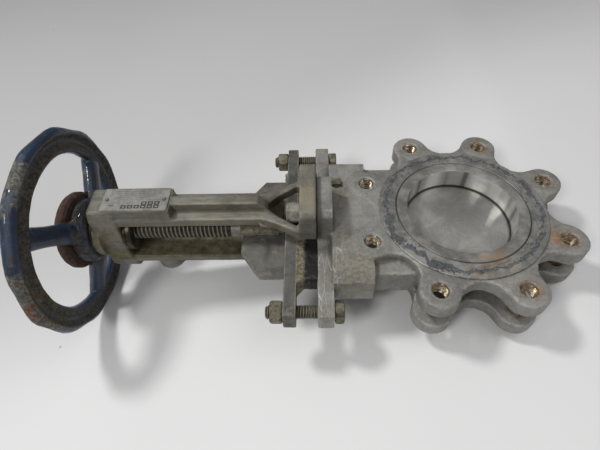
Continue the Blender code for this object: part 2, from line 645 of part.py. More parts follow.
def make_nameplate():
    low = PAD_TOP + GAP
    high = low + NAMEPLATE_THICKNESS
    plate = prism("nameplate", box_outline(NAMEPLATE_START, NAMEPLATE_START + NAMEPLATE_LENGTH,
                                           -NAMEPLATE_HALF_WIDTH, NAMEPLATE_HALF_WIDTH, 0.001),
                  "Z", low, high, PALE_PLATE)
    pin = DRIVE_SCREW_RADIUS * 0.6
    cut(plate, drills("cut_nameplate_holes", nameplate_screw_places(), pin + GAP, "Z",
                      low - OVERSHOOT, high + OVERSHOOT, 12))
    for k, centre in enumerate(nameplate_screw_places(), 1):
        turned(f"drive_screw_{k}", [(PAD_TOP - 0.005, pin), (high + GAP, pin),
                                    (high + GAP, DRIVE_SCREW_RADIUS),
                                    (high + GAP + 0.0006, DRIVE_SCREW_RADIUS * 0.85),
                                    (high + GAP + 0.0010, DRIVE_SCREW_RADIUS * 0.4)],
               "Z", 14, PALE_PLATE, centre=centre)


# ---- gate and stem drive -------------------------------------------------------------------
def make_gate():
    """A round-nosed plate whose top edge is notched round the solid part of the clevis."""
    bottom = arc((GATE_TIP + GATE_HALF_WIDTH, 0), GATE_HALF_WIDTH, pi / 2, 3 * pi / 2, 32)
    shoulder = GATE_TOP - GATE_CHAMFER_LENGTH
    right = [(shoulder, -GATE_HALF_WIDTH), (GATE_TOP, -GATE_TOP_HALF_WIDTH),
             (GATE_TOP, -NOTCH_HALF_WIDTH), (FORK_TOP - GAP, -NOTCH_HALF_WIDTH)]
    outline = bottom + right + [(a, -b) for a, b in reversed(right)]
    gate = prism("gate", outline, "Z", -GATE_HALF, GATE_HALF, BRUSHED)
    cut(gate, drills("cut_gate_holes", [(s, 0) for s in CLEVIS_BOLT_PLACES],
                     CLEVIS_BOLT_RADIUS + GAP, "Z", -OUTSIDE, OUTSIDE, 12))


def make_clevis():
    clevis = prism("stem_clevis", box_outline(-CLEVIS_HALF_WIDTH, CLEVIS_HALF_WIDTH,
                                              -CLEVIS_HALF_DEPTH, CLEVIS_HALF_DEPTH, 0.002),
                   "X", CLEVIS_BOTTOM, CLEVIS_TOP, CRUSTED)
    fork = prism("cut_fork", box_outline(CLEVIS_BOTTOM - OVERSHOOT, FORK_TOP, -OUTSIDE, OUTSIDE),
                 "Z", -SLOT_HALF, SLOT_HALF)
    socket = drills("cut_stem_socket", [(0, 0)], SPIGOT_RADIUS + GAP, "X",
                    SPIGOT_BOTTOM - GAP, CLEVIS_TOP + OVERSHOOT, 24)
    holes = drills("cut_clevis_holes", [(s, 0) for s in CLEVIS_BOLT_PLACES],
                   CLEVIS_BOLT_RADIUS + GAP, "Z", -OUTSIDE, OUTSIDE, 12)
    cut(clevis, fork, socket, holes)
    for k, place in enumerate(CLEVIS_BOLT_PLACES, 1):
        seat = CLEVIS_HALF_DEPTH + GAP
        nut_top = -seat - CLEVIS_HEAD_HEIGHT
        hex_bolt(f"clevis_bolt_{k}", "Z", (place, 0), seat + CLEVIS_HEAD_HEIGHT, seat,
                 nut_top - 0.0012, CLEVIS_BOLT_RADIUS, CLEVIS_BOLT_FLATS, per_side=2,
                 turn=radians(30))
        hex_nut(f"clevis_nut_{k}", "Z", (place, 0), -seat, nut_top, CLEVIS_BOLT_RADIUS + GAP,
                CLEVIS_BOLT_FLATS, per_side=2, turn=radians(30))


def make_stem():
    neck = CLEVIS_TOP + GAP
    turned("stem", [(SPIGOT_BOTTOM, SPIGOT_RADIUS), (neck, SPIGOT_RADIUS), (neck, STEM_RADIUS),
                    (STEM_SHOULDER, STEM_RADIUS), (STEM_SHOULDER + 0.001, THREAD_ROOT_RADIUS),
                    (STEM_END - 0.0015, THREAD_ROOT_RADIUS),
                    (STEM_END, THREAD_ROOT_RADIUS - 0.0015)], "X", 28, BRUSHED)


def key_box(name, look=None, clearance=0.0):
    half = KEY_WIDTH / 2 + clearance
    low, high = NUT_NECK_RADIUS - KEY_DEPTH - clearance, NUT_NECK_RADIUS + KEY_DEPTH + clearance
    start, end = HUB_BOTTOM + 0.003 - clearance, HUB_TOP - 0.001 + clearance
    return prism(name, box_outline(-half, half, low, high), "X", start, end, look)


def make_stem_nut():
    inner = STEM_RADIUS + GAP
    bottom = NUT_FLANGE_TOP - NUT_FLANGE_HEIGHT
    profile = [(bottom, inner), (bottom, NUT_FLANGE_RADIUS - 0.001), (bottom + 0.001, NUT_FLANGE_RADIUS),
               (NUT_FLANGE_TOP, NUT_FLANGE_RADIUS), (NUT_FLANGE_TOP, NUT_NECK_RADIUS),
               (NUT_TOP - 0.001, NUT_NECK_RADIUS), (NUT_TOP, NUT_NECK_RADIUS - 0.001), (NUT_TOP, inner)]
    nut = turned("stem_nut", profile, "X", 36, BRONZE, ring=True)
    cut(nut, key_box("cut_nut_keyway", clearance=GAP))


def make_thrust_washers():
    inner = NUT_NECK_RADIUS + RUNNING_CLEARANCE
    tube("thrust_washer_lower", NUT_FLANGE_TOP + GAP, NUT_FLANGE_TOP + GAP + WASHER_THICKNESS,
         inner, NUT_FLANGE_RADIUS, 36, BRONZE, chamfer=0.0003)
    tube("thrust_washer_upper", COLLAR_TOP + GAP, COLLAR_TOP + GAP + WASHER_THICKNESS,
         inner, COLLAR_RADIUS - 0.001, 36, BRONZE, chamfer=0.0003)


# ---- handwheel -----------------------------------------------------------------------------
def rim_section(angle):
    """Round outside, with a shallow cove on the side that faces the valve."""
    knuckle = RIM_KNUCKLE_HEIGHT * (cos(RIM_KNUCKLES * angle) - 1)
    cove = 0.0030
    points = []
    for k in range(14):
        a = 2 * pi * k / 14
        radial = RIM_HALF_WIDTH * cos(a)
        along = RIM_HALF_THICKNESS * sin(a)
        if cos(a) > 0.2:
            radial += knuckle * cos(a)
        if sin(a) < -0.7:
            along += cove * (-sin(a) - 0.7) / 0.3
        points.append((RIM_RADIUS + radial, RIM_PLACE + along))
    return points


def make_handwheel():
    steps = 72
    loops = []
    for i in range(steps):
        angle = 2 * pi * i / steps
        loops.append([(x, r * cos(angle), r * sin(angle)) for r, x in rim_section(angle)])
    wheel = skin("handwheel", loops, BLUE_PAINT, ring=True)
    hub = turned("wheel_hub", [(HUB_BOTTOM, HUB_RADIUS - 0.004), (HUB_BOTTOM + 0.004, HUB_RADIUS),
                               (HUB_TOP - 0.004, HUB_RADIUS), (HUB_TOP, HUB_RADIUS - 0.002)], "X", 40)
    unite(wheel, hub)
    for k in range(SPOKE_COUNT):
        unite(wheel, spoke(k))
    spot_face = drills("cut_spot_face", [(0, 0)], SPOT_FACE_RADIUS, "X", HUB_TOP, HUB_TOP + OUTSIDE, 48)
    cut(wheel, spot_face, drills("cut_hub_bore", [(0, 0)], NUT_NECK_RADIUS + GAP, "X",
                                 HUB_BOTTOM - OVERSHOOT, HUB_TOP + OVERSHOOT, 36),
        key_box("cut_hub_keyway", clearance=GAP))


def spoke(k):
    """An oval arm that leans from the hub to the rim and is a little wider at both ends."""
    angle = FIRST_SPOKE_ANGLE + 2 * pi * k / SPOKE_COUNT
    out = Vector((0, cos(angle), sin(angle)))
    across = Vector((0, -sin(angle), cos(angle)))
    along = Vector((1, 0, 0))
    start = Vector((SPOKE_START, 0, 0)) + out * (HUB_RADIUS - 0.008)
    end = Vector((SPOKE_END, 0, 0)) + out * (RIM_RADIUS - 0.004)
    loops = []
    for i in range(7):
        t = i / 6
        waist = 1 + 0.28 * (2 * t - 1) ** 2
        middle = start.lerp(end, t)
        loops.append([middle + across * (SPOKE_HALF_WIDTH * waist * cos(a))
                      + along * (SPOKE_HALF_THICKNESS * sin(a))
                      for a in (2 * pi * j / 14 for j in range(14))])
    return skin(f"wheel_spoke_{k + 1}", loops, None)


def make_wheel_fixings():
    key_box("wheel_key", WEATHERED_BOLT)
    tube("lock_nut", LOCK_NUT_BOTTOM, LOCK_NUT_BOTTOM + LOCK_NUT_HEIGHT, NUT_NECK_RADIUS + GAP,
         LOCK_NUT_RADIUS, 48, RUST, chamfer=0.002)


def main():
    clear_scene()
    frame = bpy.data.objects.new("valve_frame", None)
    bpy.context.scene.collection.objects.link(frame)
    frame.matrix_world = Matrix.Rotation(pi, 4, "Z")
    Part.frame = frame
    make_body()
    make_seat_rings()
    make_plug()
    make_packing()
    make_gland()
    make_gland_bolts()
    make_yoke()
    make_yoke_bolts()
    make_nameplate()
    make_gate()
    make_clevis()
    make_stem()
    make_stem_nut()
    make_thrust_washers()
    make_handwheel()
    make_wheel_fixings()


main()
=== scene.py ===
"""Knife gate valve: the visible pieces, their finishes and the stage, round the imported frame."""
from math import cos, hypot, pi, radians, sin, sqrt

import bmesh
import bpy
from bpy.props import FloatProperty, FloatVectorProperty, PointerProperty
from mathutils import Matrix, Vector, noise


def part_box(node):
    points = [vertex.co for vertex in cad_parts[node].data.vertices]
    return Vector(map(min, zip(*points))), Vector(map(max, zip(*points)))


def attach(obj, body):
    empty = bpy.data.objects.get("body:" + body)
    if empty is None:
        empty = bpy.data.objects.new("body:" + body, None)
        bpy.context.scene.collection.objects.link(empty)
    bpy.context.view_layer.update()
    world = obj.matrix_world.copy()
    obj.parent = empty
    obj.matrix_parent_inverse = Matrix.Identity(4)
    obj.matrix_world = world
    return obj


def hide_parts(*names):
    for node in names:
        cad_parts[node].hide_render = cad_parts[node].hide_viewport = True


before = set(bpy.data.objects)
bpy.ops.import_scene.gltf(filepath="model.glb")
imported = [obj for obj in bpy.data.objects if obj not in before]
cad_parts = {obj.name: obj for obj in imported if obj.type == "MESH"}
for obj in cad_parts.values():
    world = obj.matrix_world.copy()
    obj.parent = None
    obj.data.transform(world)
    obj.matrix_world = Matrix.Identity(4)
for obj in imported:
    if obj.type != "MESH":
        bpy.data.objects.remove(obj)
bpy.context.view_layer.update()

bl_info = {
    "name": "Knife Gate Valve",
    "version": (1, 0, 0),
    "blender": (4, 5, 0),
    "location": "3D View > Sidebar > Valve",
    "description": "Builds the visible pieces of a lugged knife gate valve and its stage",
    "category": "Object",
}

# bodies of the frame
VALVE = "valve_body"
GATE = "gate_assembly"
WHEEL = "wheel_assembly"

# places along the stem are negative X; across the gate is Y; the flow axis is Z
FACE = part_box("seat_ring_front")[1][2]
SEAT_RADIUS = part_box("seat_ring_front")[1][0]
BORE_RADIUS = 0.051
RAISED_RADIUS = 0.0786
RAISED_HEIGHT = 0.0016
LUG_FACE = FACE - RAISED_HEIGHT
LUG_BACK = LUG_FACE - 0.015
BOLT_CIRCLE = 0.09525
LUGS = 8
TAPPING_RADIUS = 0.0073
STEM_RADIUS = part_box("stem")[1][1]
STEM_SHOULDER = -0.2240        # plain towards the gate and threaded towards the wheel
STEM_NECK = -0.2143            # where the spigot enters the clevis
SPIGOT_RADIUS = 0.0075
THREAD_ROOT_RADIUS = 0.0083
GLAND_BOLT_PLACE = 0.095       # to each side of the stem
GLAND_BOLT_RADIUS = 0.0062
GLAND_BOLT_FLATS = 0.0184
GLAND_HEAD_HEIGHT = 0.0085
YOKE_BOLT_RADIUS = 0.0061
YOKE_BOLT_FLATS = 0.0190
YOKE_HEAD_HEIGHT = 0.0132
SLEEVE_RADIUS = 0.0568
SEAT_FLANGE_THICKNESS = 0.0038
LUG_PAD_RADIUS = 0.0162
LUG_PAD_HEIGHT = 0.0007
RIM_PLACE = -0.3872
COVE_RADIUS = 0.0905
COVE_HALF_WIDTH = 0.0078
COVE_DEPTH = 0.0046


# ---- node expressions ----------------------------------------------------------------------
class Wire:
    """A node socket that can stand in a Python expression."""

    def __init__(self, graph, socket):
        self.graph, self.socket = graph, socket

    def maths(self, operation, *values):
        return self.graph.add("ShaderNodeMath", {"operation": operation}, *values)

    def __add__(self, other):
        return self.maths("ADD", self, other)

    __radd__ = __add__

    def __sub__(self, other):
        return self.maths("SUBTRACT", self, other)

    def __rsub__(self, other):
        return self.maths("SUBTRACT", other, self)

    def __mul__(self, other):
        return self.maths("MULTIPLY", self, other)

    __rmul__ = __mul__

    def __truediv__(self, other):
        return self.maths("DIVIDE", self, other)

    def __pow__(self, power):
        return self.maths("POWER", self, power)

    def size(self):
        return self.maths("ABSOLUTE", self)

    def low(self, other):
        return self.maths("MINIMUM", self, other)

    def high(self, other):
        return self.maths("MAXIMUM", self, other)


class Graph:
    """A node tree with one method that adds any node."""

    def __init__(self, tree):
        self.tree = tree

    def add(self, kind, settings=None, *values, **named):
        """Add a node: settings first, then values or wires by order, then by socket name."""
        node = self.tree.nodes.new(kind)
        out = named.pop("out", 0)
        for key, value in (settings or {}).items():
            if key == "stops":
                self.set_stops(node.color_ramp, value)
            else:
                setattr(node, key, value)
        for i, value in enumerate(values):
            self.feed(node.inputs[i], value)
        for key, value in named.items():
            self.feed(node.inputs[key.replace("_", " ")], value)
        return Wire(self, node.outputs[out])

    def feed(self, socket, value):
        if isinstance(value, Wire):
            self.tree.links.new(value.socket, socket)
        elif value is not None:
            if socket.type == "RGBA" and len(value) == 3:
                value = (*value, 1.0)
            socket.default_value = value

    @staticmethod
    def set_stops(ramp, stops):
        while len(ramp.elements) < len(stops):
            ramp.elements.new(0.5)
        for element, (place, colour) in zip(ramp.elements, stops):
            element.position = place
            element.color = (*colour, 1.0) if len(colour) == 3 else colour


class Finish(Graph):
    """A material whose pattern lies in object coordinates, with its colour laid on in layers."""

    def __init__(self, name):
        self.material = bpy.data.materials.new(name)
        self.material.use_nodes = True
        super().__init__(self.material.node_tree)
        self.tree.nodes.clear()
        self.where = self.add("ShaderNodeTexCoord", None, out="Object")
        parts = self.tree.nodes.new("ShaderNodeSeparateXYZ")
        self.tree.links.new(self.where.socket, parts.inputs[0])
        self.x, self.y, self.z = (Wire(self, parts.outputs[i]) for i in range(3))
        self.colour = None

    def noise(self, scale, detail=4.0, rough=0.55, warp=0.0, at=None):
        return self.add("ShaderNodeTexNoise", None, Vector=at or self.where, Scale=scale,
                        Detail=detail, Roughness=rough, Distortion=warp)

    def cells(self, scale, feature="F1", at=None, out="Distance"):
        return self.add("ShaderNodeTexVoronoi", {"feature": feature}, Vector=at or self.where,
                        Scale=scale, out=out)

    def stretched(self, scale, place=(0, 0, 0)):
        return self.add("ShaderNodeMapping", None, Vector=self.where, Scale=scale, Location=place)

    def step(self, value, low, high):
        """0 below low and 1 above high, smoothly; low may be the larger."""
        return self.add("ShaderNodeMapRange", {"interpolation_type": "SMOOTHSTEP"}, value, low, high,
                        0.0, 1.0)

    def mix(self, share, first, second):
        node = self.tree.nodes.new("ShaderNodeMix")
        node.data_type = "RGBA"
        for i, value in ((0, share), (6, first), (7, second)):
            self.feed(node.inputs[i], value)
        return Wire(self, node.outputs[2])

    def lay(self, share, colour):
        """Cover the colour so far with another, by a mask or a share."""
        self.colour = self.mix(share, self.colour, colour)

    def edges(self, low, high):
        """1 on outer edges of a densely meshed piece, or in hollows if low is the larger."""
        return self.step(self.add("ShaderNodeNewGeometry", None, out="Pointiness"), low, high)

    def distance(self, centre, squeeze=(1, 1, 1)):
        """Distance from a point, with each axis stretched by squeeze."""
        moved = self.add("ShaderNodeVectorMath", {"operation": "SUBTRACT"}, self.where, centre)
        scaled = self.add("ShaderNodeVectorMath", {"operation": "MULTIPLY"}, moved, squeeze)
        return self.add("ShaderNodeVectorMath", {"operation": "LENGTH"}, scaled, out="Value")

    def radius(self, a, b):
        return (a * a + b * b) ** 0.5

    def spot(self, centre, reach, soft=0.5, squeeze=(1, 1, 1), ragged=0.0, scale=120.0):
        """1 at a point, fading to 0 at reach, with a ragged border."""
        away = self.distance(centre, squeeze)
        if ragged:
            away = away + (self.noise(scale, 5.0, 0.7) - 0.5) * (2 * ragged)
        return self.step(away, reach, reach * (1 - soft))

    def spots(self, *rows):
        """The strongest of several spots."""
        mask = self.spot(*rows[0])
        for row in rows[1:]:
            mask = mask.high(self.spot(*row))
        return mask

    def close(self, rough, metal, height, depth, coat=None):
        """Finish the tree with a Principled surface and return the material."""
        shader = self.tree.nodes.new("ShaderNodeBsdfPrincipled")
        bump = self.add("ShaderNodeBump", None, Strength=1.0, Distance=depth, Height=height)
        for key, value in (("Base Color", self.colour), ("Roughness", rough), ("Metallic", metal),
                           ("Coat Weight", coat), ("Normal", bump)):
            self.feed(shader.inputs[key], value)
        out = self.tree.nodes.new("ShaderNodeOutputMaterial")
        self.tree.links.new(shader.outputs[0], out.inputs["Surface"])
        return self.material


class Maker(Graph):
    """A Geometry Nodes tree with named inputs, turned into a plain mesh when it is done."""

    def __init__(self, name, sizes):
        tree = bpy.data.node_groups.new(name, "GeometryNodeTree")
        super().__init__(tree)
        tree.interface.new_socket("Geometry", in_out="OUTPUT", socket_type="NodeSocketGeometry")
        self.sizes = sizes
        kinds = {int: "NodeSocketInt", float: "NodeSocketFloat", bool: "NodeSocketBool",
                 tuple: "NodeSocketVector", bpy.types.Material: "NodeSocketMaterial"}
        self.identifiers = {}
        for key, value in sizes.items():
            made = tree.interface.new_socket(key, in_out="INPUT", socket_type=kinds[type(value)])
            self.identifiers[key] = made.identifier
        entry = tree.nodes.new("NodeGroupInput")
        self.inlets = {key: Wire(self, entry.outputs[key]) for key in sizes}

    def __getitem__(self, key):
        return self.inlets[key]

    def vector(self, x=0.0, y=0.0, z=0.0):
        return self.add("ShaderNodeCombineXYZ", None, x, y, z)

    def moved(self, geometry, place=None, turn=None):
        return self.add("GeometryNodeTransform", None, Geometry=geometry, Translation=place,
                        Rotation=turn)

    def joined(self, *parts):
        node = self.tree.nodes.new("GeometryNodeJoinGeometry")
        for part in parts:
            self.tree.links.new(part.socket, node.inputs[0])
        return Wire(self, node.outputs[0])

    def piece(self, name, geometry):
        """Realize the copies, set the material and return a plain mesh object."""
        real = self.add("GeometryNodeRealizeInstances", None, geometry)
        done = self.add("GeometryNodeSetMaterial", None, Geometry=real, Material=self["Material"])
        exit_node = self.tree.nodes.new("NodeGroupOutput")
        self.tree.links.new(done.socket, exit_node.inputs[0])
        item = bpy.data.objects.new(name, bpy.data.meshes.new(name))
        bpy.context.scene.collection.objects.link(item)
        step = item.modifiers.new(name, "NODES")
        step.node_group = self.tree
        for key, value in self.sizes.items():
            step[self.identifiers[key]] = value
        flatten(item)
        return item


# ---- mesh helpers --------------------------------------------------------------------------
def flatten(item):
    """Turn an object with modifiers into a plain mesh."""
    item.update_tag()
    bpy.context.view_layer.update()
    graph = bpy.context.evaluated_depsgraph_get()
    made = bpy.data.meshes.new_from_object(item.evaluated_get(graph), depsgraph=graph)
    item.modifiers.clear()
    old = item.data
    item.data = made
    bpy.data.meshes.remove(old)


def new_object(name, bm):
    mesh = bpy.data.meshes.new(name)
    bm.to_mesh(mesh)
    bm.free()
    item = bpy.data.objects.new(name, mesh)
    bpy.context.scene.collection.objects.link(item)
    return item


def solid_object(name, bm):
    """An object of closed shells, with every face turned outwards."""
    bmesh.ops.recalc_face_normals(bm, faces=bm.faces)
    return new_object(name, bm)


def settle(item, material, body, *nodes, slot=None, smooth=35):
    """Give a finished piece its material, its body and the CAD nodes that it stands for."""
    item.data.materials.clear()
    item.data.materials.append(material)
    item.data.shade_smooth()
    if smooth < 180:
        item.data.set_sharp_from_angle(angle=radians(smooth))
    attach(item, body)
    if nodes:
        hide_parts(*nodes)
    return item


def keep_node(name, material, edge=0.0):
    """A CAD node that stays, with a procedural finish and broken edges."""
    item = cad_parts[name]
    for place in item.material_slots:
        place.material = material
    if edge:
        weld = item.modifiers.new("weld", "WELD")
        weld.merge_threshold = 1e-6
        bevel = item.modifiers.new("edges", "BEVEL")
        bevel.width = edge
        bevel.segments = 2
        bevel.limit_method = "ANGLE"
        bevel.angle_limit = radians(40)


def node_mesh(name):
    """A merged copy of a CAD node's mesh."""
    bm = bmesh.new()
    bm.from_mesh(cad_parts[name].data)
    bmesh.ops.remove_doubles(bm, verts=bm.verts, dist=1e-6)
    return bm


def skin(bm, loops, ring=False):
    """Skin loops of equal length; close the ends, or the skin on itself for a ring."""
    rows = [[bm.verts.new(p) for p in loop] for loop in loops]
    count = len(rows[0])
    made = []
    for lower, upper in list(zip(rows, rows[1:])) + ([(rows[-1], rows[0])] if ring else []):
        for i in range(count):
            j = (i + 1) % count
            made.append(bm.faces.new((lower[i], lower[j], upper[j], upper[i])))
    if not ring:
        made += [bm.faces.new(rows[0][::-1]), bm.faces.new(rows[-1])]
    return made


def circle(centre, radius, axis, place, steps):
    """Points of a circle about an axis, at a place along it."""
    points = []
    for i in range(steps):
        a = centre[0] + radius * cos(2 * pi * i / steps)
        b = centre[1] + radius * sin(2 * pi * i / steps)
        points.append((place, a, b) if axis == "X" else (a, b, place))
    return points


def turned(bm, profile, axis, centre=(0, 0), steps=48, ring=False):
    """Turn a profile of (place along the axis, radius) about the axis."""
    skin(bm, [circle(centre, radius, axis, place, steps) for place, radius in profile], ring)


def turned_piece(name, profile, axis, centre=(0, 0), steps=48, ring=False):
    bm = bmesh.new()
    turned(bm, profile, axis, centre, steps, ring)
    return solid_object(name, bm)


def cast(item, voxel, rounds):
    """Melt a solid into one skin with filleted corners."""
    melt = item.modifiers.new("melt", "REMESH")
    melt.mode = "VOXEL"
    melt.voxel_size = voxel
    soft = item.modifiers.new("soft", "SMOOTH")
    soft.factor = 0.5
    soft.iterations = rounds
    flatten(item)


def roughen(item, size, scale, seed=0.0, keep=None):
    """Push vertices in and out along their normals by a smooth seeded noise."""
    shift = Vector((seed, seed * 0.37, -seed))
    mesh = item.data
    normals = [vertex.normal.copy() for vertex in mesh.vertices]
    moved = []
    for vertex, normal in zip(mesh.vertices, normals):
        place = vertex.co.copy()
        if keep is None or keep(place):
            amount = noise.noise(place * scale + shift) + 0.5 * noise.noise(place * scale * 2.3 + shift)
            place += normal * (amount * size)
        moved.extend(place)
    mesh.vertices.foreach_set("co", moved)
    mesh.update()


def lug_places():
    turn = 2 * pi / LUGS
    return [(BOLT_CIRCLE * cos(turn * (k + 0.5)), BOLT_CIRCLE * sin(turn * (k + 0.5)))
            for k in range(LUGS)]


def sizes():
    return bpy.context.scene.valve_sizes


def colours():
    return bpy.context.scene.valve_colours


# ---- finishes ------------------------------------------------------------------------------
def times(colour, amount):
    """A colour made darker or lighter."""
    return tuple(c * amount for c in colour)


def once(make):
    """Keep one copy of a finish, however many pieces wear it."""
    def find():
        name = make.__name__
        return bpy.data.materials.get(name) or make(name)
    return find


@once
def bead_blasted_casting(name):
    """Grey cast stainless, grimy in its hollows, crusted by the bonnet flange and rusty round its holes."""
    f = Finish(name)
    base = tuple(colours().casting)
    mottle = f.noise(26, 6, 0.68, 0.4)
    fine = f.noise(700, 4, 0.7)
    grit = f.noise(330, 5, 0.75)
    f.colour = f.mix(f.step(mottle, 0.36, 0.66), times(base, 0.72), times(base, 1.18))
    f.lay(f.step(grit, 0.48, 0.66) * 0.40, times(base, 1.5))
    f.lay(f.step(grit, 0.46, 0.32) * 0.45, times(base, 0.45))
    f.lay(f.step(f.noise(60, 6, 0.72, 0.6), 0.52, 0.70) * 0.50, (0.150, 0.140, 0.108))
    hollows = f.edges(0.497, 0.462)
    f.lay(hollows * 0.70, (0.062, 0.054, 0.036))
    ridges = f.edges(0.512, 0.545)
    f.lay(ridges * f.step(grit, 0.40, 0.62) * 0.50, (0.430, 0.420, 0.385))
    flange = f.step(f.x, -0.108, -0.124)
    patchy = f.step(f.noise(95, 6, 0.75, 1.0), 0.50, 0.62)
    f.lay(flange * patchy * 0.30, (0.240, 0.215, 0.155))
    crust = f.spots(((-0.106, -0.066, 0.016), 0.036, 0.7, (1, 1, 1), 0.014, 90),
                    ((-0.114, -0.030, 0.026), 0.020, 0.8, (1.6, 0.8, 1), 0.010, 120),
                    ((-0.114, 0.020, 0.026), 0.022, 0.8, (1.6, 0.7, 1), 0.010, 120),
                    ((-0.131, -0.101, 0.006), 0.013, 0.7, (1, 1, 1), 0.006, 140),
                    ((-0.131, 0.103, 0.004), 0.010, 0.7, (1, 1, 1), 0.006, 140))
    scale_grain = f.noise(300, 6, 0.78)
    crusty = f.mix(f.step(scale_grain, 0.36, 0.62), (0.120, 0.108, 0.078), (0.330, 0.305, 0.240))
    f.lay(crust * f.step(scale_grain, 0.30, 0.48) * 0.65, crusty)
    near_hole = None
    for x, y in lug_places():
        ring = f.step(f.distance((x, y, 0), (1, 1, 0)), 0.0125, 0.0083)
        near_hole = ring if near_hole is None else near_hole.high(ring)
    halo = near_hole * f.step(f.noise(170, 5, 0.75), 0.40, 0.58) * f.step(f.x, -0.060, 0.0)
    f.lay(halo * 0.65, (0.250, 0.120, 0.040))
    run = f.spot((0.0770, -0.0345, LUG_FACE), 0.0120, 0.8, (1.1, 0.8, 1), 0.006, 150)
    f.lay(run * f.step(f.noise(230, 5, 0.75), 0.34, 0.56) * 0.85, (0.300, 0.125, 0.028))
    scratch = f.step(f.cells(60, "DISTANCE_TO_EDGE", f.stretched((3.0, 0.35, 1.0))), 0.020, 0.0)
    f.lay(scratch * flange * f.step(f.y, -0.02, -0.05) * 0.75, (0.62, 0.61, 0.58))
    height = fine * 0.6 + grit * 1.1 + scale_grain * crust * 2.2 + mottle * 1.2
    rough = 0.50 + crust * 0.3 + hollows * 0.15
    return f.close(rough, 0.35 - crust * 0.30 - hollows * 0.2, height, 0.00060)


@once
def yoke_casting(name):
    """Grey cast stainless with olive-yellow grime along its edges and in its corners, and painted shade in
    the pocket of its foot.
    """
    f = Finish(name)
    base = tuple(colours().yoke)
    mottle = f.noise(30, 6, 0.66, 0.3)
    streak = f.noise(1.0, 5, 0.68, 0.2, f.stretched((28, 210, 210)))
    fine = f.noise(650, 4, 0.7)
    grit = f.noise(300, 5, 0.75)
    f.colour = f.mix(f.step(mottle, 0.34, 0.66), times(base, 0.68), times(base, 1.25))
    f.lay(f.step(streak, 0.44, 0.62) * 0.50, (0.105, 0.097, 0.064))
    f.lay(f.step(streak, 0.44, 0.34) * 0.40, (0.240, 0.232, 0.196))
    f.lay(f.step(grit, 0.52, 0.68) * 0.35, times(base, 1.6))
    hollows = f.edges(0.498, 0.462)
    ridges = f.edges(0.508, 0.540)
    grime = f.step(f.noise(60, 6, 0.72, 0.8), 0.40, 0.58)
    f.lay(hollows * 0.85, (0.070, 0.056, 0.020))
    f.lay(ridges * grime * 0.55, (0.270, 0.228, 0.100))
    inner = f.step(f.z.size(), 0.0290, 0.0245) * f.step(f.x, -0.165, -0.185)
    back = f.step(f.z, -0.005, -0.012)
    olive = f.mix(f.step(f.noise(80, 6, 0.75), 0.36, 0.64), (0.045, 0.038, 0.016), (0.165, 0.140, 0.070))
    grimy = inner * f.step(f.noise(45, 6, 0.75, 0.6), 0.40, 0.60)
    f.lay((inner * back * 0.85).high(grimy * 0.7), olive)
    tan = f.step(f.noise(95, 6, 0.75, 1.2), 0.58, 0.68)
    f.lay(tan * 0.55, (0.270, 0.225, 0.110))
    # painted shade: the pocket in the yoke's foot is painted near black
    pocket_shade = f.spot((-0.176, 0.0, 0.024), 0.021, 0.5, (1, 1, 1), 0.004, 120)
    f.lay(pocket_shade * 0.85, (0.030, 0.025, 0.010))
    foot = f.step(f.x, -0.172, -0.160)
    foot_tone = f.mix(f.step(f.noise(70, 6, 0.72), 0.36, 0.62), (0.120, 0.112, 0.092), (0.235, 0.225, 0.195))
    f.lay(foot * 0.6, foot_tone)
    patch = f.spot((-0.147, -0.012, 0.060), 0.022, 0.7, (1, 1, 0.6), 0.012, 110)
    f.lay(foot * patch * 0.70, (0.290, 0.245, 0.170))
    height = fine * 0.6 + grit * 0.9 + tan * 0.5 + mottle * 1.0
    return f.close(0.48 + hollows * 0.25 + tan * 0.15, 0.42 - hollows * 0.35 - tan * 0.25,
                   height, 0.00060)


@once
def scaled_casting(name):
    """Dark cast stainless with a dry tan crust on its nose and middle, and painted black shade deep in the
    gap.
    """
    f = Finish(name)
    mottle = f.noise(34, 6, 0.66, 0.3)
    grain = f.noise(300, 6, 0.78)
    lumps = f.noise(130, 5, 0.72, 0.4)
    metal_colour = f.mix(f.step(mottle, 0.34, 0.66), (0.070, 0.068, 0.060), (0.155, 0.151, 0.138))
    crust_colour = f.mix(f.step(grain, 0.34, 0.62), (0.055, 0.044, 0.024), (0.280, 0.245, 0.170))
    nose = f.step(f.x, -0.1590, -0.1575) * f.step(f.x, -0.1490, -0.1520)
    ends = f.step(f.y.size(), 0.086, 0.104) * 0.8
    patches = f.step(lumps, 0.58, 0.68) * 0.35
    middle = f.step(f.y.size(), 0.030, 0.016) * 0.85
    crust = nose.high(ends * f.step(lumps, 0.46, 0.60)).high(patches).high(middle)
    f.colour = f.mix(crust, metal_colour, crust_colour)
    # painted shade: near black deep in the gap towards the bonnet flange
    shaded = f.step(f.x + (lumps - 0.5) * 0.012, -0.1515, -0.1485)
    f.lay(shaded * 0.94, (0.006, 0.005, 0.003))
    f.lay(f.edges(0.498, 0.462) * 0.8, (0.040, 0.032, 0.016))
    f.lay(f.edges(0.510, 0.540) * f.step(lumps, 0.4, 0.6) * 0.5, (0.360, 0.330, 0.250))
    height = grain * (0.5 + crust * 1.6) + lumps * crust * 1.5 + mottle
    return f.close(0.50 + crust * 0.36, 0.40 - crust * 0.38, height, 0.00065)


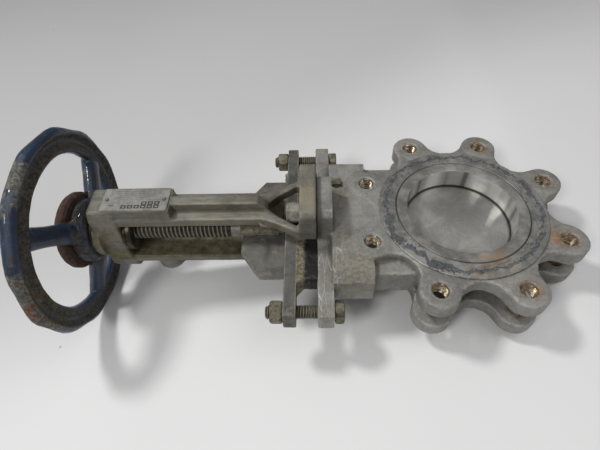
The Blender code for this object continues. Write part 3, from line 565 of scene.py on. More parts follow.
@once
def machined_face(name):
    """A turned raised face with dark blue-grey gasket residue and a stain on one side."""
    f = Finish(name)
    around = f.radius(f.x, f.y)
    grooves = f.add("ShaderNodeMath", {"operation": "SINE"}, around * 7000.0)
    mottle = f.noise(60, 6, 0.70)
    f.colour = f.mix(f.step(mottle, 0.36, 0.64), (0.205, 0.201, 0.185), (0.400, 0.393, 0.368))
    ragged = around + (f.noise(34, 6, 0.72, 1.2) - 0.5) * 0.030 + (f.noise(260, 5, 0.8) - 0.5) * 0.006
    broad = f.spot((-0.058, -0.036, FACE), 0.075, 0.8) * 0.0024
    residue = f.step(ragged, 0.0690, 0.0700) * f.step(ragged - broad, 0.0738, 0.0726)
    residue = residue * f.step(f.noise(90, 6, 0.8, 1.4), 0.42, 0.48)
    line = f.step((ragged - 0.0660).size(), 0.0006, 0.0002) * f.step(f.noise(30, 4, 0.7, 0.6), 0.46, 0.54)
    residue = residue.high(line * 0.8)
    speckle = f.step(f.noise(400, 5, 0.75), 0.38, 0.62)
    f.lay(residue * 0.92, f.mix(speckle, (0.020, 0.024, 0.030), (0.110, 0.122, 0.132)))
    joint = f.step((around - 0.0626).size(), 0.0009, 0.0002)
    f.lay(joint * 0.35, (0.090, 0.085, 0.072))
    rim = f.step(around, 0.0772, 0.0782)
    f.lay(rim * f.step(f.noise(200, 4, 0.7), 0.4, 0.6) * 0.6, (0.050, 0.046, 0.038))
    stain = f.spot((0.012, -0.068, FACE), 0.022, 0.9, (0.6, 1, 1), 0.010, 140)
    f.lay(stain * f.step(f.noise(150, 6, 0.75), 0.44, 0.60) * 0.55, (0.300, 0.175, 0.070))
    height = grooves * 0.20 + residue * 2.0 + f.noise(500, 4, 0.7) * 1.2
    return f.close(0.40 + residue * 0.35, 0.70 - residue * 0.65, height, 0.00022)


@once
def polished_bore(name):
    """Turned and polished stainless, with painted reflections streaked along the bore, a painted highlight,
    painted shade deep by the gate, and a duller stained face.
    """
    f = Finish(name)
    around = f.radius(f.x, f.y)
    flat = f.step(f.z.size(), FACE - 0.0010, FACE - 0.0003)
    rings = f.noise(1.0, 3, 0.6, 0.0, f.stretched((14, 14, 900)))
    turned_to = f.add("ShaderNodeCombineXYZ", None, f.x / around, f.y / around, 0.0)
    # painted reflections: dark and bright streaks set by the angle round the bore
    painted_reflection_streaks = f.noise(2.6, 2, 0.5, 0.0, turned_to)
    # painted highlight: a near-white patch at one angle round the bore wall
    painted_highlight = f.add("ShaderNodeVectorMath", {"operation": "DISTANCE"}, turned_to, (-0.32, 0.95, 0.0),
                  out="Value")
    mottle = f.noise(60, 6, 0.70)
    f.colour = f.mix(f.step(rings, 0.30, 0.70), (0.50, 0.49, 0.465), (0.66, 0.65, 0.62))
    f.lay(f.step(painted_reflection_streaks, 0.50, 0.38) * 0.85, (0.085, 0.080, 0.070))
    f.lay(f.step(painted_reflection_streaks, 0.54, 0.66) * 0.6, (0.90, 0.89, 0.86))
    f.lay(f.step(painted_highlight, 0.22, 0.04) * 0.9, (0.98, 0.97, 0.95))
    face = f.mix(f.step(mottle, 0.36, 0.64), (0.200, 0.196, 0.180), (0.370, 0.363, 0.338))
    f.lay(flat, face)
    # painted shade: the bore wall goes near black deep in the bore, next to the gate
    shade_by_gate = f.step(f.z.size(), 0.0060, 0.0042) * (1.0 - flat)
    f.lay(shade_by_gate * 0.80, (0.020, 0.018, 0.014))
    outer = f.step(around, 0.0606, 0.0618) * flat
    f.lay(outer * 0.7, (0.070, 0.065, 0.055))
    stain = f.spot((0.016, -0.0540, FACE), 0.019, 0.9, (0.70, 1.6, 1), 0.009, 160) * flat
    f.lay(stain * f.step(f.noise(240, 5, 0.75), 0.40, 0.60) * 0.80, (0.290, 0.150, 0.045))
    dirt = f.step(f.noise(45, 6, 0.7, 0.5), 0.60, 0.72)
    f.lay(dirt * 0.25, (0.150, 0.140, 0.115))
    height = rings * (1.0 - flat) * 0.4 + flat * f.noise(300, 5, 0.75) * 2.0
    return f.close(0.12 + flat * 0.30 + dirt * 0.10, 0.62 - stain * 0.4, height, 0.00012)


@once
def gate_plate(name):
    """A ground plate with swirl marks, faint smudges, dirt towards the gland, a painted reflection of the
    bore wall and painted shade where it meets the bore.
    """
    f = Finish(name)
    around = f.distance((0.006, -0.008, 0.0), (1, 1, 0))
    ringed = f.add("ShaderNodeCombineXYZ", None, around * 900.0, f.x * 40.0, f.y * 40.0)
    swirl = f.noise(1.0, 4, 0.65, 0.0, ringed)
    brushed = f.noise(1.0, 4, 0.6, 0.0, f.stretched((30, 900, 900)))
    smudge = f.noise(34, 6, 0.70, 0.8)
    f.colour = f.mix(f.step(swirl, 0.30, 0.70), (0.330, 0.322, 0.300), (0.385, 0.377, 0.355))
    f.lay(f.step(smudge, 0.44, 0.68) * 0.60, (0.560, 0.550, 0.525))
    # painted reflection: the bore wall's reflection as a dark patch on the upper part of the gate
    painted_wall_reflection = f.spot((0.012, 0.030, 0.0), 0.048, 0.8, (0.8, 1.0, 1), 0.006, 60)
    f.lay(painted_wall_reflection * 0.55, (0.120, 0.116, 0.105))
    f.lay(f.step(f.noise(55, 6, 0.75, 1.5), 0.60, 0.68) * 0.5, (0.110, 0.100, 0.085))
    # painted shade: the gate darkens into its corner with the bore wall
    rim = f.step(f.radius(f.x, f.y), 0.0478, 0.0508) * f.step(f.x, -0.110, -0.080)
    f.lay(rim * 0.85, (0.025, 0.022, 0.018))
    above = f.step(f.x, -0.150, -0.165)
    tone = f.mix(f.step(smudge, 0.36, 0.64), (0.090, 0.086, 0.074), (0.190, 0.183, 0.162))
    f.lay(above * 0.9, tone)
    dirt = above * f.step(f.noise(130, 6, 0.75), 0.56, 0.66)
    f.lay(dirt * 0.65, (0.210, 0.165, 0.085))
    height = brushed * above * 0.8 + swirl * (1.0 - above) * 0.10 + smudge * 0.3
    return f.close(0.32 + smudge * 0.14 + dirt * 0.3, 0.66 - dirt * 0.4, height, 0.00006)


@once
def threaded_steel(name):
    """Thread painted dark grey-brown in its roots and flanks as shade, with lighter crests."""
    f = Finish(name)
    crest = f.step(f.radius(f.y, f.z), STEM_RADIUS - 0.0007, STEM_RADIUS - 0.0001)
    grease = f.noise(160, 6, 0.75)
    # painted shade: the thread is dark below its crests, and only the crests are lighter
    f.colour = f.mix(f.step(grease, 0.35, 0.65), (0.012, 0.010, 0.007), (0.055, 0.047, 0.032))
    f.lay(crest * 0.85, (0.230, 0.215, 0.170))
    plain = f.step(f.x, STEM_SHOULDER - 0.0005, STEM_SHOULDER + 0.0005)
    f.lay(plain, f.mix(f.step(grease, 0.35, 0.65), (0.13, 0.12, 0.095), (0.27, 0.255, 0.215)))
    return f.close(0.42 + grease * 0.2, 0.50, grease + f.noise(900, 3, 0.6) * 0.5, 0.00015)


@once
def bolt_thread(name):
    """Dark-brown bolt shank painted near black below its crests as shade, with lighter crests."""
    f = Finish(name)
    away = f.radius(f.y.size() - GLAND_BOLT_PLACE, f.z)
    crest = f.step(away, GLAND_BOLT_RADIUS - 0.0003, GLAND_BOLT_RADIUS - 0.0001)
    dirt = f.noise(260, 6, 0.75)
    # painted shade: the shank is near black below its crests, and only the crests are lighter
    f.colour = f.mix(f.step(dirt, 0.35, 0.65), (0.002, 0.0015, 0.001), (0.010, 0.008, 0.005))
    f.lay(crest * 0.9, (0.230, 0.205, 0.145))
    return f.close(0.50, 0.35, dirt, 0.00015)


@once
def rusty_thread(name):
    """Golden-brown tapped thread."""
    f = Finish(name)
    dirt = f.noise(330, 6, 0.75)
    f.colour = f.mix(f.step(dirt, 0.36, 0.62), (0.050, 0.034, 0.018), (0.520, 0.420, 0.280))
    return f.close(0.30, 0.85, dirt, 0.00012)


@once
def dirty_fastener(name):
    """Dull olive-tan fastener steel with dirt in its corners."""
    f = Finish(name)
    mottle = f.noise(120, 6, 0.75, 0.4)
    grit = f.noise(500, 5, 0.75)
    f.colour = f.mix(f.step(mottle, 0.36, 0.62), (0.045, 0.038, 0.020), (0.200, 0.178, 0.120))
    f.lay(f.step(grit, 0.54, 0.68) * 0.6, (0.350, 0.315, 0.225))
    f.lay(f.step(f.noise(210, 6, 0.75), 0.58, 0.68) * 0.6, (0.030, 0.022, 0.010))
    return f.close(0.58, 0.25, mottle * 1.6 + grit * 1.0, 0.00060)


@once
def crusted_bolt(name):
    """A bolt head under pale grey scale."""
    f = Finish(name)
    mottle = f.noise(110, 6, 0.75, 0.4)
    f.colour = f.mix(f.step(mottle, 0.36, 0.62), (0.120, 0.112, 0.085), (0.330, 0.318, 0.275))
    f.lay(f.edges(0.498, 0.450) * 0.7, (0.050, 0.042, 0.022))
    return f.close(0.66, 0.15, mottle * 2.0 + f.noise(420, 5, 0.75), 0.00070)


@once
def dry_crust(name):
    """Dried packing and scale that has been squeezed out."""
    f = Finish(name)
    grain = f.noise(420, 6, 0.8)
    f.colour = f.mix(f.step(grain, 0.36, 0.62), (0.070, 0.056, 0.028), (0.370, 0.320, 0.220))
    return f.close(0.92, 0.0, grain * 2.0 + f.noise(160, 4, 0.7), 0.0007)


@once
def braided_packing(name):
    """Dark square-braided yarn."""
    f = Finish(name)
    braid = f.add("ShaderNodeTexWave", {"bands_direction": "DIAGONAL"}, Vector=f.where, Scale=90.0,
                  Distortion=4.0, Detail=2.0, out="Fac")
    f.colour = f.mix(braid, (0.020, 0.018, 0.014), (0.130, 0.115, 0.085))
    return f.close(0.88, 0.0, braid, 0.0005)


@once
def worn_nameplate(name):
    """Thin grey plate with faint ragged rows, a dash and two rows of small dark boxes."""
    f = Finish(name)
    low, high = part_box("nameplate")
    along = f.x - low[0]
    up = f.y - low[1]
    rows = f.step((f.add("ShaderNodeMath", {"operation": "FRACT"}, up / 0.0026) - 0.5).size(), 0.20, 0.12)
    ragged = f.step(f.noise(1.0, 2, 0.6, 0.0, f.stretched((520, 150, 1))), 0.46, 0.54)
    upper = f.step(up, 0.0125, 0.0132) * f.step(up, 0.0265, 0.0258)
    span = f.step(along, 0.0120, 0.0128) * f.step(along, 0.0560, 0.0552)
    faint = rows * ragged * upper * span * 0.42
    box_pitch, start = 0.0062, 0.0195
    place = f.add("ShaderNodeMath", {"operation": "FRACT"}, (along - start) / box_pitch)
    across = (place - 0.5).size() * box_pitch
    boxes = None
    for first, middle in ((0, 0.0052), (3, 0.0096)):
        left, right = start + first * box_pitch, start + 6 * box_pitch
        within = f.step(along, left, left + 0.0002) * f.step(along, right, right - 0.0002)
        rise = (up - middle).size()
        outer = f.step(across, 0.0026, 0.0024) * f.step(rise, 0.0022, 0.0020)
        inner = f.step(across, 0.0013, 0.0010) * f.step(rise, 0.0011, 0.0008)
        row = within * outer * (1.0 - inner)
        boxes = row if boxes is None else boxes.high(row)
    tick = f.step((along - 0.0105).size(), 0.0030, 0.0026) * f.step((up - 0.0068).size(), 0.0007, 0.0005)
    ink = faint.high(boxes * 0.95).high(tick * 0.8)
    wear = f.noise(90, 6, 0.75, 0.5)
    f.colour = f.mix(f.step(wear, 0.36, 0.64), (0.150, 0.148, 0.137), (0.240, 0.237, 0.221))
    rim_distance = (along.low(0.064 - along)).low(up.low(0.0286 - up))
    rim = f.step(rim_distance + (wear - 0.5) * 0.004, 0.0020, 0.0)
    f.lay(rim * 0.65, (0.120, 0.098, 0.048))
    f.lay(ink, (0.012, 0.012, 0.013))
    height = 1.0 - ink * 0.4 - faint * 0.6 + wear * 0.5
    return f.close(0.45 + ink * 0.2, 0.20 - ink * 0.2, height, 0.00012)


@once
def chipped_blue_paint(name):
    """Navy paint, worn to grey-beige in patches, with rust on the near side and dirt in the cove."""
    f = Finish(name)
    paint = tuple(colours().paint)
    around = f.radius(f.y, f.z)
    tone = f.noise(30, 6, 0.70, 0.4)
    f.colour = f.mix(f.step(tone, 0.34, 0.66), times(paint, 0.35), times(paint, 1.15))
    small = f.noise(95, 6, 0.78, 0.6)
    fine = f.noise(420, 6, 0.78)
    f.lay(f.step(fine, 0.52, 0.64) * 0.50, (0.040, 0.062, 0.098))
    f.lay(f.step(small, 0.50, 0.62) * 0.75, (0.018, 0.015, 0.010))
    big = f.noise(17, 6, 0.66, 0.9)
    outward = f.step(around, 0.090, 0.099)
    low_near = f.step(f.distance((-0.396, -0.098, 0.012)), 0.062, 0.022)
    mid_near = f.step(f.distance((-0.394, -0.030, 0.092)), 0.040, 0.012)
    level = big * 0.60 + small * 0.40 + outward * 0.03 + low_near * 0.19 + mid_near * 0.13
    worn = f.step(level, 0.575, 0.635)
    beige = f.mix(f.step(fine, 0.36, 0.62), (0.042, 0.038, 0.028), (0.250, 0.240, 0.200))
    beige = f.mix(f.step(small, 0.56, 0.44) * 0.55, beige, (0.055, 0.060, 0.062))
    f.lay(worn * 0.92, beige)
    rust_noise = f.noise(70, 6, 0.75, 1.2)
    rust = f.step(rust_noise + low_near * 0.13, 0.655, 0.690)
    red = f.mix(f.step(fine, 0.4, 0.6), (0.080, 0.028, 0.010), (0.280, 0.095, 0.028))
    f.lay(rust * 0.9, red)
    cove = f.step(f.x, -0.3865, -0.3835) * f.step((around - 0.0895).size(), 0.0100, 0.0060)
    dirt = cove * f.step(f.noise(60, 6, 0.78, 0.6), 0.30, 0.50)
    hub = f.step(around, 0.046, 0.036) * f.step(f.noise(85, 6, 0.78, 0.6), 0.40, 0.54)
    dirt = dirt.high(hub * 0.8)
    tan = f.mix(f.step(f.noise(260, 6, 0.78), 0.36, 0.64), (0.012, 0.009, 0.006), (0.125, 0.100, 0.064))
    f.lay(dirt * 0.88, tan)
    bare = worn.high(rust).high(dirt)
    height = (1.0 - worn) * 0.8 + fine * (0.6 + bare * 1.2) + small * 0.8 + rust * 0.6
    return f.close(0.34 + bare * 0.42 + small * 0.10, worn * 0.15, height, 0.00085, (1.0 - bare) * 0.30)


@once
def textured_rust(name):
    """Red-brown rusted steel."""
    f = Finish(name)
    scale = f.noise(190, 6, 0.75, 0.6)
    fine = f.noise(900, 4, 0.7)
    f.colour = f.mix(f.step(scale, 0.30, 0.62), (0.012, 0.007, 0.004), (0.070, 0.034, 0.020))
    f.lay(f.step(fine, 0.55, 0.70) * 0.5, (0.130, 0.058, 0.028))
    f.lay(f.step(f.noise(60, 5, 0.7), 0.58, 0.70) * 0.6, (0.150, 0.120, 0.080))
    return f.close(0.85, 0.05, scale * 1.5 + fine, 0.0007)


@once
def dark_bronze(name):
    """Dull brown bronze."""
    f = Finish(name)
    tone = f.noise(80, 5, 0.65)
    f.colour = f.mix(f.step(tone, 0.35, 0.65), (0.030, 0.025, 0.016), (0.120, 0.100, 0.064))
    return f.close(0.48, 0.75, tone + f.noise(700, 3, 0.6) * 0.4, 0.00015)


@once
def pale_floor(name):
    """Matt pale paper, darkened on one side by painted shade, with a few small specks."""
    f = Finish(name)
    tone = f.noise(3.0, 3, 0.5)
    base = tuple(colours().floor)
    f.colour = f.mix(f.step(tone, 0.3, 0.7), times(base, 0.975), base)
    # painted shade: the floor is darkened towards -X and +Y and left lighter towards +X and -Y
    painted_light_side = f.step(f.x - f.y * 1.5, -0.70, -0.15)
    f.lay((1.0 - painted_light_side) * 0.8, times(base, 0.64))
    specks = f.step(f.cells(26), 0.060, 0.035) * f.step(f.noise(9, 2, 0.5), 0.56, 0.60)
    f.lay(specks * 0.55, (0.16, 0.14, 0.11))
    return f.close(0.75, 0.0, f.noise(30, 3, 0.5), 0.0004)


# ---- pieces shared by several makers -------------------------------------------------------
def screw_thread(name, start, turns, pitch, root, crest, material, centre=(0.0, 0.0, 0.0),
                 left_hand=False, steps=28):
    """A helical ridge along -X, made by sweeping a small profile along a spiral."""
    tree = Maker(name, {"Turns": float(turns), "Pitch": float(pitch), "Root Radius": float(root),
                        "Crest Radius": float(crest), "Place": (start, centre[1], centre[2]),
                        "Left Hand": bool(left_hand), "Material": material})
    middle = (tree["Root Radius"] + tree["Crest Radius"]) * 0.5
    spiral = tree.add("GeometryNodeCurveSpiral", None, Resolution=steps, Rotations=tree["Turns"],
                      Start_Radius=middle, End_Radius=middle,
                      Height=tree["Turns"] * tree["Pitch"], Reverse=tree["Left Hand"])
    swept = sweep(tree, spiral, 1.0 if left_hand else -1.0)
    laid = tree.moved(swept, tree["Place"], (0.0, -pi / 2, 0.0))
    return tree.piece(name, laid)


def sweep(tree, spiral, way):
    """Sweep a trapezoid along a spiral about Z, wide at the root radius.

    The curve's own normal points out of a left-hand spiral and into a right-hand one, so way is
    1 or -1 and turns the profile half a turn.
    """
    straight = tree.add("GeometryNodeSetCurveNormal", {"mode": "Z_UP"}, spiral)
    half = (tree["Crest Radius"] - tree["Root Radius"]) * (0.5 * way)
    wide, thin = tree["Pitch"] * (0.44 * way), tree["Pitch"] * (0.09 * way)
    profile = tree.add("GeometryNodeCurvePrimitiveQuadrilateral", {"mode": "POINTS"},
                       Point_1=tree.vector(half, thin * -1.0), Point_2=tree.vector(half, thin),
                       Point_3=tree.vector(half * -1.0, wide), Point_4=tree.vector(half * -1.0, wide * -1.0))
    return tree.add("GeometryNodeCurveToMesh", None, Curve=straight, Profile_Curve=profile,
                    Fill_Caps=True)


def hexagon_reach(angle, flats, rounding=0.985):
    """Radius of a hexagon with slightly rounded corners, at an angle from one corner."""
    turn = (angle + pi / 6) % (pi / 3) - pi / 6
    turn = pi / 6 - abs(turn)
    return min(flats / 2 / cos(turn), flats / sqrt(3) * rounding)


def hex_loops(axis, centre, turn, levels, steps=72):
    """Loops whose radius is a hexagon's, but never more than each level's own limit."""
    loops = []
    for place, flats, limit in levels:
        loop = []
        for i in range(steps):
            a = 2 * pi * i / steps
            r = limit if flats is None else min(hexagon_reach(a - turn, flats), limit)
            u, v = centre[0] + r * cos(a), centre[1] + r * sin(a)
            loop.append((place, u, v) if axis == "X" else (u, v, place))
        loops.append(loop)
    return loops


def hex_head(bm, axis, centre, seat, crown, flats, turn):
    """A forged hexagon head with a washer face and a dished, rounded crown."""
    way = 1 if crown > seat else -1
    rise = abs(crown - seat)
    corner = flats / sqrt(3)
    levels = [(seat, None, flats * 0.47), (seat + way * 0.0004, None, flats * 0.47),
              (seat + way * 0.0005, flats, corner * 0.97), (seat + way * rise * 0.22, flats, corner),
              (seat + way * rise * 0.74, flats, corner), (seat + way * rise * 0.90, flats, flats * 0.535),
              (crown - way * 0.0003, flats, flats * 0.47), (crown, None, flats * 0.43),
              (crown - way * 0.0002, None, flats * 0.20)]
    skin(bm, hex_loops(axis, centre, turn, levels))


def hex_nut(bm, axis, centre, seat, top, flats, bore, turn):
    """A hexagon nut with both ends chamfered and a countersunk bore."""
    way = 1 if top > seat else -1
    corner = flats / sqrt(3)
    levels = [(seat, None, bore + 0.0006), (seat, None, flats * 0.47),
              (seat + way * 0.0009, flats, flats * 0.54),
              (seat + way * 0.0018, flats, corner), (top - way * 0.0022, flats, corner),
              (top - way * 0.0010, flats, flats * 0.54), (top, None, flats * 0.47),
              (top, None, bore + 0.0008), (top - way * 0.0008, None, bore),
              (seat + way * 0.0008, None, bore)]
    skin(bm, hex_loops(axis, centre, turn, levels), ring=True)


# ---- operators -----------------------------------------------------------------------------
class ValveMaker:
    """What every operator here shares."""
    bl_options = {"REGISTER", "UNDO"}


class VALVE_OT_body(ValveMaker, bpy.types.Operator):
    """Cast the body with its lugs, chest and bonnet flange, turn its raised faces, and line its lug holes
    with countersunk walls and threads
    """
    bl_idname = "valve.body"
    bl_label = "Body"

    def execute(self, context):
        bm = node_mesh("body")
        for vertex in bm.verts:
            radius = hypot(vertex.co.x, vertex.co.y)
            if abs(vertex.co.z) > LUG_FACE + 0.0001 and radius < RAISED_RADIUS + 0.002:
                vertex.co.z = LUG_FACE if vertex.co.z > 0 else -LUG_FACE
        sunk, proud = LUG_FACE - 0.004, LUG_FACE + LUG_PAD_HEIGHT
        for place in lug_places():
            for side in (1, -1):
                turned(bm, [(side * sunk, LUG_PAD_RADIUS), (side * proud, LUG_PAD_RADIUS - 0.0006),
                            (side * proud, TAPPING_RADIUS), (side * sunk, TAPPING_RADIUS)],
                       "Z", place, 40, ring=True)
        item = solid_object("body_casting", bm)
        cast(item, sizes().coarse_voxel, 2)
        roughen(item, 0.00022, 55, 3.1)
        settle(item, bead_blasted_casting(), VALVE, "body", slot="cast_stainless", smooth=50)
        for side, word in ((1, "front"), (-1, "rear")):
            profile = [(side * (LUG_FACE - 0.002), SEAT_RADIUS + 0.0004),
                       (side * (FACE - 0.0003), SEAT_RADIUS + 0.0004),
                       (side * FACE, SEAT_RADIUS + 0.0008), (side * FACE, RAISED_RADIUS - 0.0008),
                       (side * (FACE - 0.0006), RAISED_RADIUS - 0.0002),
                       (side * (LUG_FACE - 0.002), RAISED_RADIUS)]
            face = turned_piece(f"raised_face_{word}", profile, "Z", steps=192, ring=True)
            settle(face, machined_face(), VALVE, slot="cast_stainless")
        self.bush_lugs()
        self.tap_lugs()
        return {"FINISHED"}

    def bush_lugs(self):
        """The crisp countersunk wall of every lug hole."""
        bm = bmesh.new()
        top, hole = LUG_FACE + 0.0008, TAPPING_RADIUS + 0.0004
        for place in lug_places():
            for side in (1, -1):
                turned(bm, [(side * LUG_BACK, hole), (side * (top - 0.0013), hole),
                            (side * top, hole + 0.0011), (side * top, hole + 0.0022),
                            (side * (top - 0.0030), hole + 0.0030),
                            (side * (LUG_BACK + 0.0010), hole + 0.0012), (side * LUG_BACK, hole + 0.0006)],
                       "Z", place, 48, ring=True)
        settle(solid_object("lug_bushes", bm), bead_blasted_casting(), VALVE, slot="cast_stainless")

    def tap_lugs(self):
        """Threads in every lug hole: one spiral ridge copied round both bolt circles."""
        length = LUG_FACE - LUG_BACK - 0.0015
        pitch = sizes().lug_pitch
        tree = Maker("lug_threads", {"Turns": length / pitch, "Pitch": pitch,
                                     "Root Radius": TAPPING_RADIUS + 0.0006,
                                     "Crest Radius": TAPPING_RADIUS - 0.0006, "Lugs": LUGS,
                                     "Bolt Circle": BOLT_CIRCLE, "Depth": LUG_BACK,
                                     "Material": rusty_thread()})
        middle = (tree["Root Radius"] + tree["Crest Radius"]) * 0.5
        spiral = tree.add("GeometryNodeCurveSpiral", None, Resolution=20, Rotations=tree["Turns"],
                          Start_Radius=middle, End_Radius=middle, Height=tree["Turns"] * tree["Pitch"])
        ridge = sweep(tree, spiral, -1.0)
        ring = tree.add("GeometryNodeMeshCircle", None, Vertices=tree["Lugs"], Radius=tree["Bolt Circle"])
        ring = tree.moved(ring, None, (0.0, 0.0, pi / LUGS))
        front = tree.moved(ring, tree.vector(0.0, 0.0, tree["Depth"]))
        rear = tree.moved(ring, tree.vector(0.0, 0.0, tree["Depth"] * -1.0 - length))
        rings = tree.joined(front, rear)
        copies = tree.add("GeometryNodeInstanceOnPoints", None, Points=rings, Instance=ridge)
        settle(tree.piece("lug_threads", copies), rusty_thread(), VALVE, slot="cast_stainless")


class VALVE_OT_seats(ValveMaker, bpy.types.Operator):
    """Turn the two seat rings and finish the gate plate"""
    bl_idname = "valve.seats"
    bl_label = "Seats and gate"

    def execute(self, context):
        for side, word in ((1, "front"), (-1, "rear")):
            low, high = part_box(f"seat_ring_{word}")
            near, far = (low[2], high[2]) if side > 0 else (high[2], low[2])
            step = far - side * SEAT_FLANGE_THICKNESS
            profile = [(near, BORE_RADIUS), (near, SLEEVE_RADIUS), (step, SLEEVE_RADIUS),
                       (step, SEAT_RADIUS - 0.0001),
                       (far - side * 0.0004, SEAT_RADIUS - 0.0001), (far, SEAT_RADIUS - 0.0006),
                       (far, BORE_RADIUS + 0.0012), (far - side * 0.0004, BORE_RADIUS + 0.0004),
                       (far - side * 0.0014, BORE_RADIUS)]
            item = turned_piece(f"seat_{word}", profile, "Z", steps=192, ring=True)
            settle(item, polished_bore(), VALVE, f"seat_ring_{word}", slot="polished_steel")
        keep_node("gate", gate_plate(), 0.0005)
        return {"FINISHED"}


class VALVE_OT_gland(ValveMaker, bpy.types.Operator):
    """Cast the gland follower and lay the packing and the dried crust"""
    bl_idname = "valve.gland"
    bl_label = "Gland and packing"

    def execute(self, context):
        item = new_object("gland_casting", node_mesh("gland_follower"))
        cast(item, sizes().fine_voxel, 2)
        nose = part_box("gland_follower")[1][0] - 0.012
        roughen(item, 0.00055, 130, 5.7, lambda p: p.x > nose)
        roughen(item, 0.00018, 70, 1.9)
        settle(item, scaled_casting(), VALVE, "gland_follower", slot="crusted_casting", smooth=55)
        for k in (1, 2, 3):
            keep_node(f"packing_ring_{k}", braided_packing(), 0.0008)
        self.squeeze_out()
        return {"FINISHED"}

    def squeeze_out(self):
        """A lump of dried packing beside the far edge of the gate."""
        bm = bmesh.new()
        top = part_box("gland_follower")[0][0]
        for x, y, z, r in ((0.0005, 0.0660, 0.001, 0.0036), (0.0012, 0.0685, -0.003, 0.0030),
                           (0.0002, 0.0675, 0.005, 0.0031), (0.0018, 0.0720, 0.002, 0.0026)):
            made = bmesh.ops.create_icosphere(bm, subdivisions=3, radius=r)
            bmesh.ops.translate(bm, verts=made["verts"], vec=(top + x, y, z))
        item = new_object("dried_packing", bm)
        cast(item, 0.0005, 2)
        roughen(item, 0.0009, 420, 8.3)
        settle(item, dry_crust(), VALVE, slot="crusted_casting", smooth=180)


class VALVE_OT_fasteners(ValveMaker, bpy.types.Operator):
    """Forge the gland bolts, yoke bolts and clevis bolts with their nuts and threads"""
    bl_idname = "valve.fasteners"
    bl_label = "Fasteners"

    def execute(self, context):
        for word, nut_turn in (("left", 0.75), ("right", 0.42)):
            self.forge_gland_bolt(word, nut_turn)
        for word in ("front", "rear"):
            self.forge_yoke_bolt(word)
        for k in (1, 2):
            keep_node(f"clevis_bolt_{k}", dirty_fastener(), 0.0003)
            keep_node(f"clevis_nut_{k}", dirty_fastener(), 0.0003)
        keep_node("purge_plug", dirty_fastener(), 0.0005)
        return {"FINISHED"}

    @staticmethod
    def forge_gland_bolt(word, nut_turn):
        """One gland bolt with its swept thread and its nut."""
        low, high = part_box(f"gland_bolt_{word}")
        centre = ((low[1] + high[1]) / 2, 0.0)
        seat = high[0] - GLAND_HEAD_HEIGHT
        core = GLAND_BOLT_RADIUS - 0.0009
        bm = bmesh.new()
        hex_head(bm, "X", centre, seat, high[0], GLAND_BOLT_FLATS, 0.3)
        turned(bm, [(seat + 0.001, core), (low[0] + 0.0008, core), (low[0], core - 0.0008)],
               "X", centre, 40)
        bolt = solid_object(f"gland_bolt_{word}_forging", bm)
        settle(bolt, dirty_fastener(), VALVE, f"gland_bolt_{word}", slot="weathered_bolt")
        pitch = sizes().bolt_pitch
        length = seat - low[0] - 0.0015
        ridge = screw_thread(f"gland_thread_{word}", seat - 0.0005, length / pitch, pitch,
                             core - 0.0001, GLAND_BOLT_RADIUS, bolt_thread(), (0.0, centre[0], 0.0),
                             steps=24)
        settle(ridge, bolt_thread(), VALVE, slot="weathered_bolt")
        nut_low, nut_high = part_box(f"gland_nut_{word}")
        bm = bmesh.new()
        hex_nut(bm, "X", centre, nut_high[0], nut_low[0], GLAND_BOLT_FLATS, GLAND_BOLT_RADIUS + 0.0002,
                nut_turn)
        nut = solid_object(f"gland_nut_{word}_forging", bm)
        roughen(nut, 0.00015, 300, 2.2)
        settle(nut, dirty_fastener(), VALVE, f"gland_nut_{word}", slot="weathered_bolt")

    @staticmethod
    def forge_yoke_bolt(word):
        """One crusted bolt in the yoke's foot."""
        low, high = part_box(f"yoke_bolt_{word}")
        centre = (0.0, (low[2] + high[2]) / 2)
        seat = low[0] + YOKE_HEAD_HEIGHT
        bm = bmesh.new()
        hex_head(bm, "X", centre, seat, low[0], YOKE_BOLT_FLATS, 0.0)
        turned(bm, [(seat - 0.001, YOKE_BOLT_RADIUS), (high[0], YOKE_BOLT_RADIUS)], "X", centre, 32)
        bolt = solid_object(f"yoke_bolt_{word}_forging", bm)
        roughen(bolt, 0.00018, 260, 4.4)
        settle(bolt, crusted_bolt(), VALVE, f"yoke_bolt_{word}", slot="weathered_bolt")


class VALVE_OT_yoke(ValveMaker, bpy.types.Operator):
    """Cast the two-armed yoke"""
    bl_idname = "valve.yoke"
    bl_label = "Yoke"

    def execute(self, context):
        item = new_object("yoke_casting", node_mesh("yoke"))
        cast(item, sizes().fine_voxel * 1.1, 3)
        roughen(item, 0.00020, 60, 7.7)
        settle(item, yoke_casting(), VALVE, "yoke", slot="cast_yoke", smooth=55)
        return {"FINISHED"}


class VALVE_OT_nameplate(ValveMaker, bpy.types.Operator):
    """Finish the nameplate and its drive screws"""
    bl_idname = "valve.nameplate"
    bl_label = "Nameplate"

    def execute(self, context):
        keep_node("nameplate", worn_nameplate(), 0.00015)
        for k in (1, 2):
            keep_node(f"drive_screw_{k}", dirty_fastener(), 0.0002)
        return {"FINISHED"}


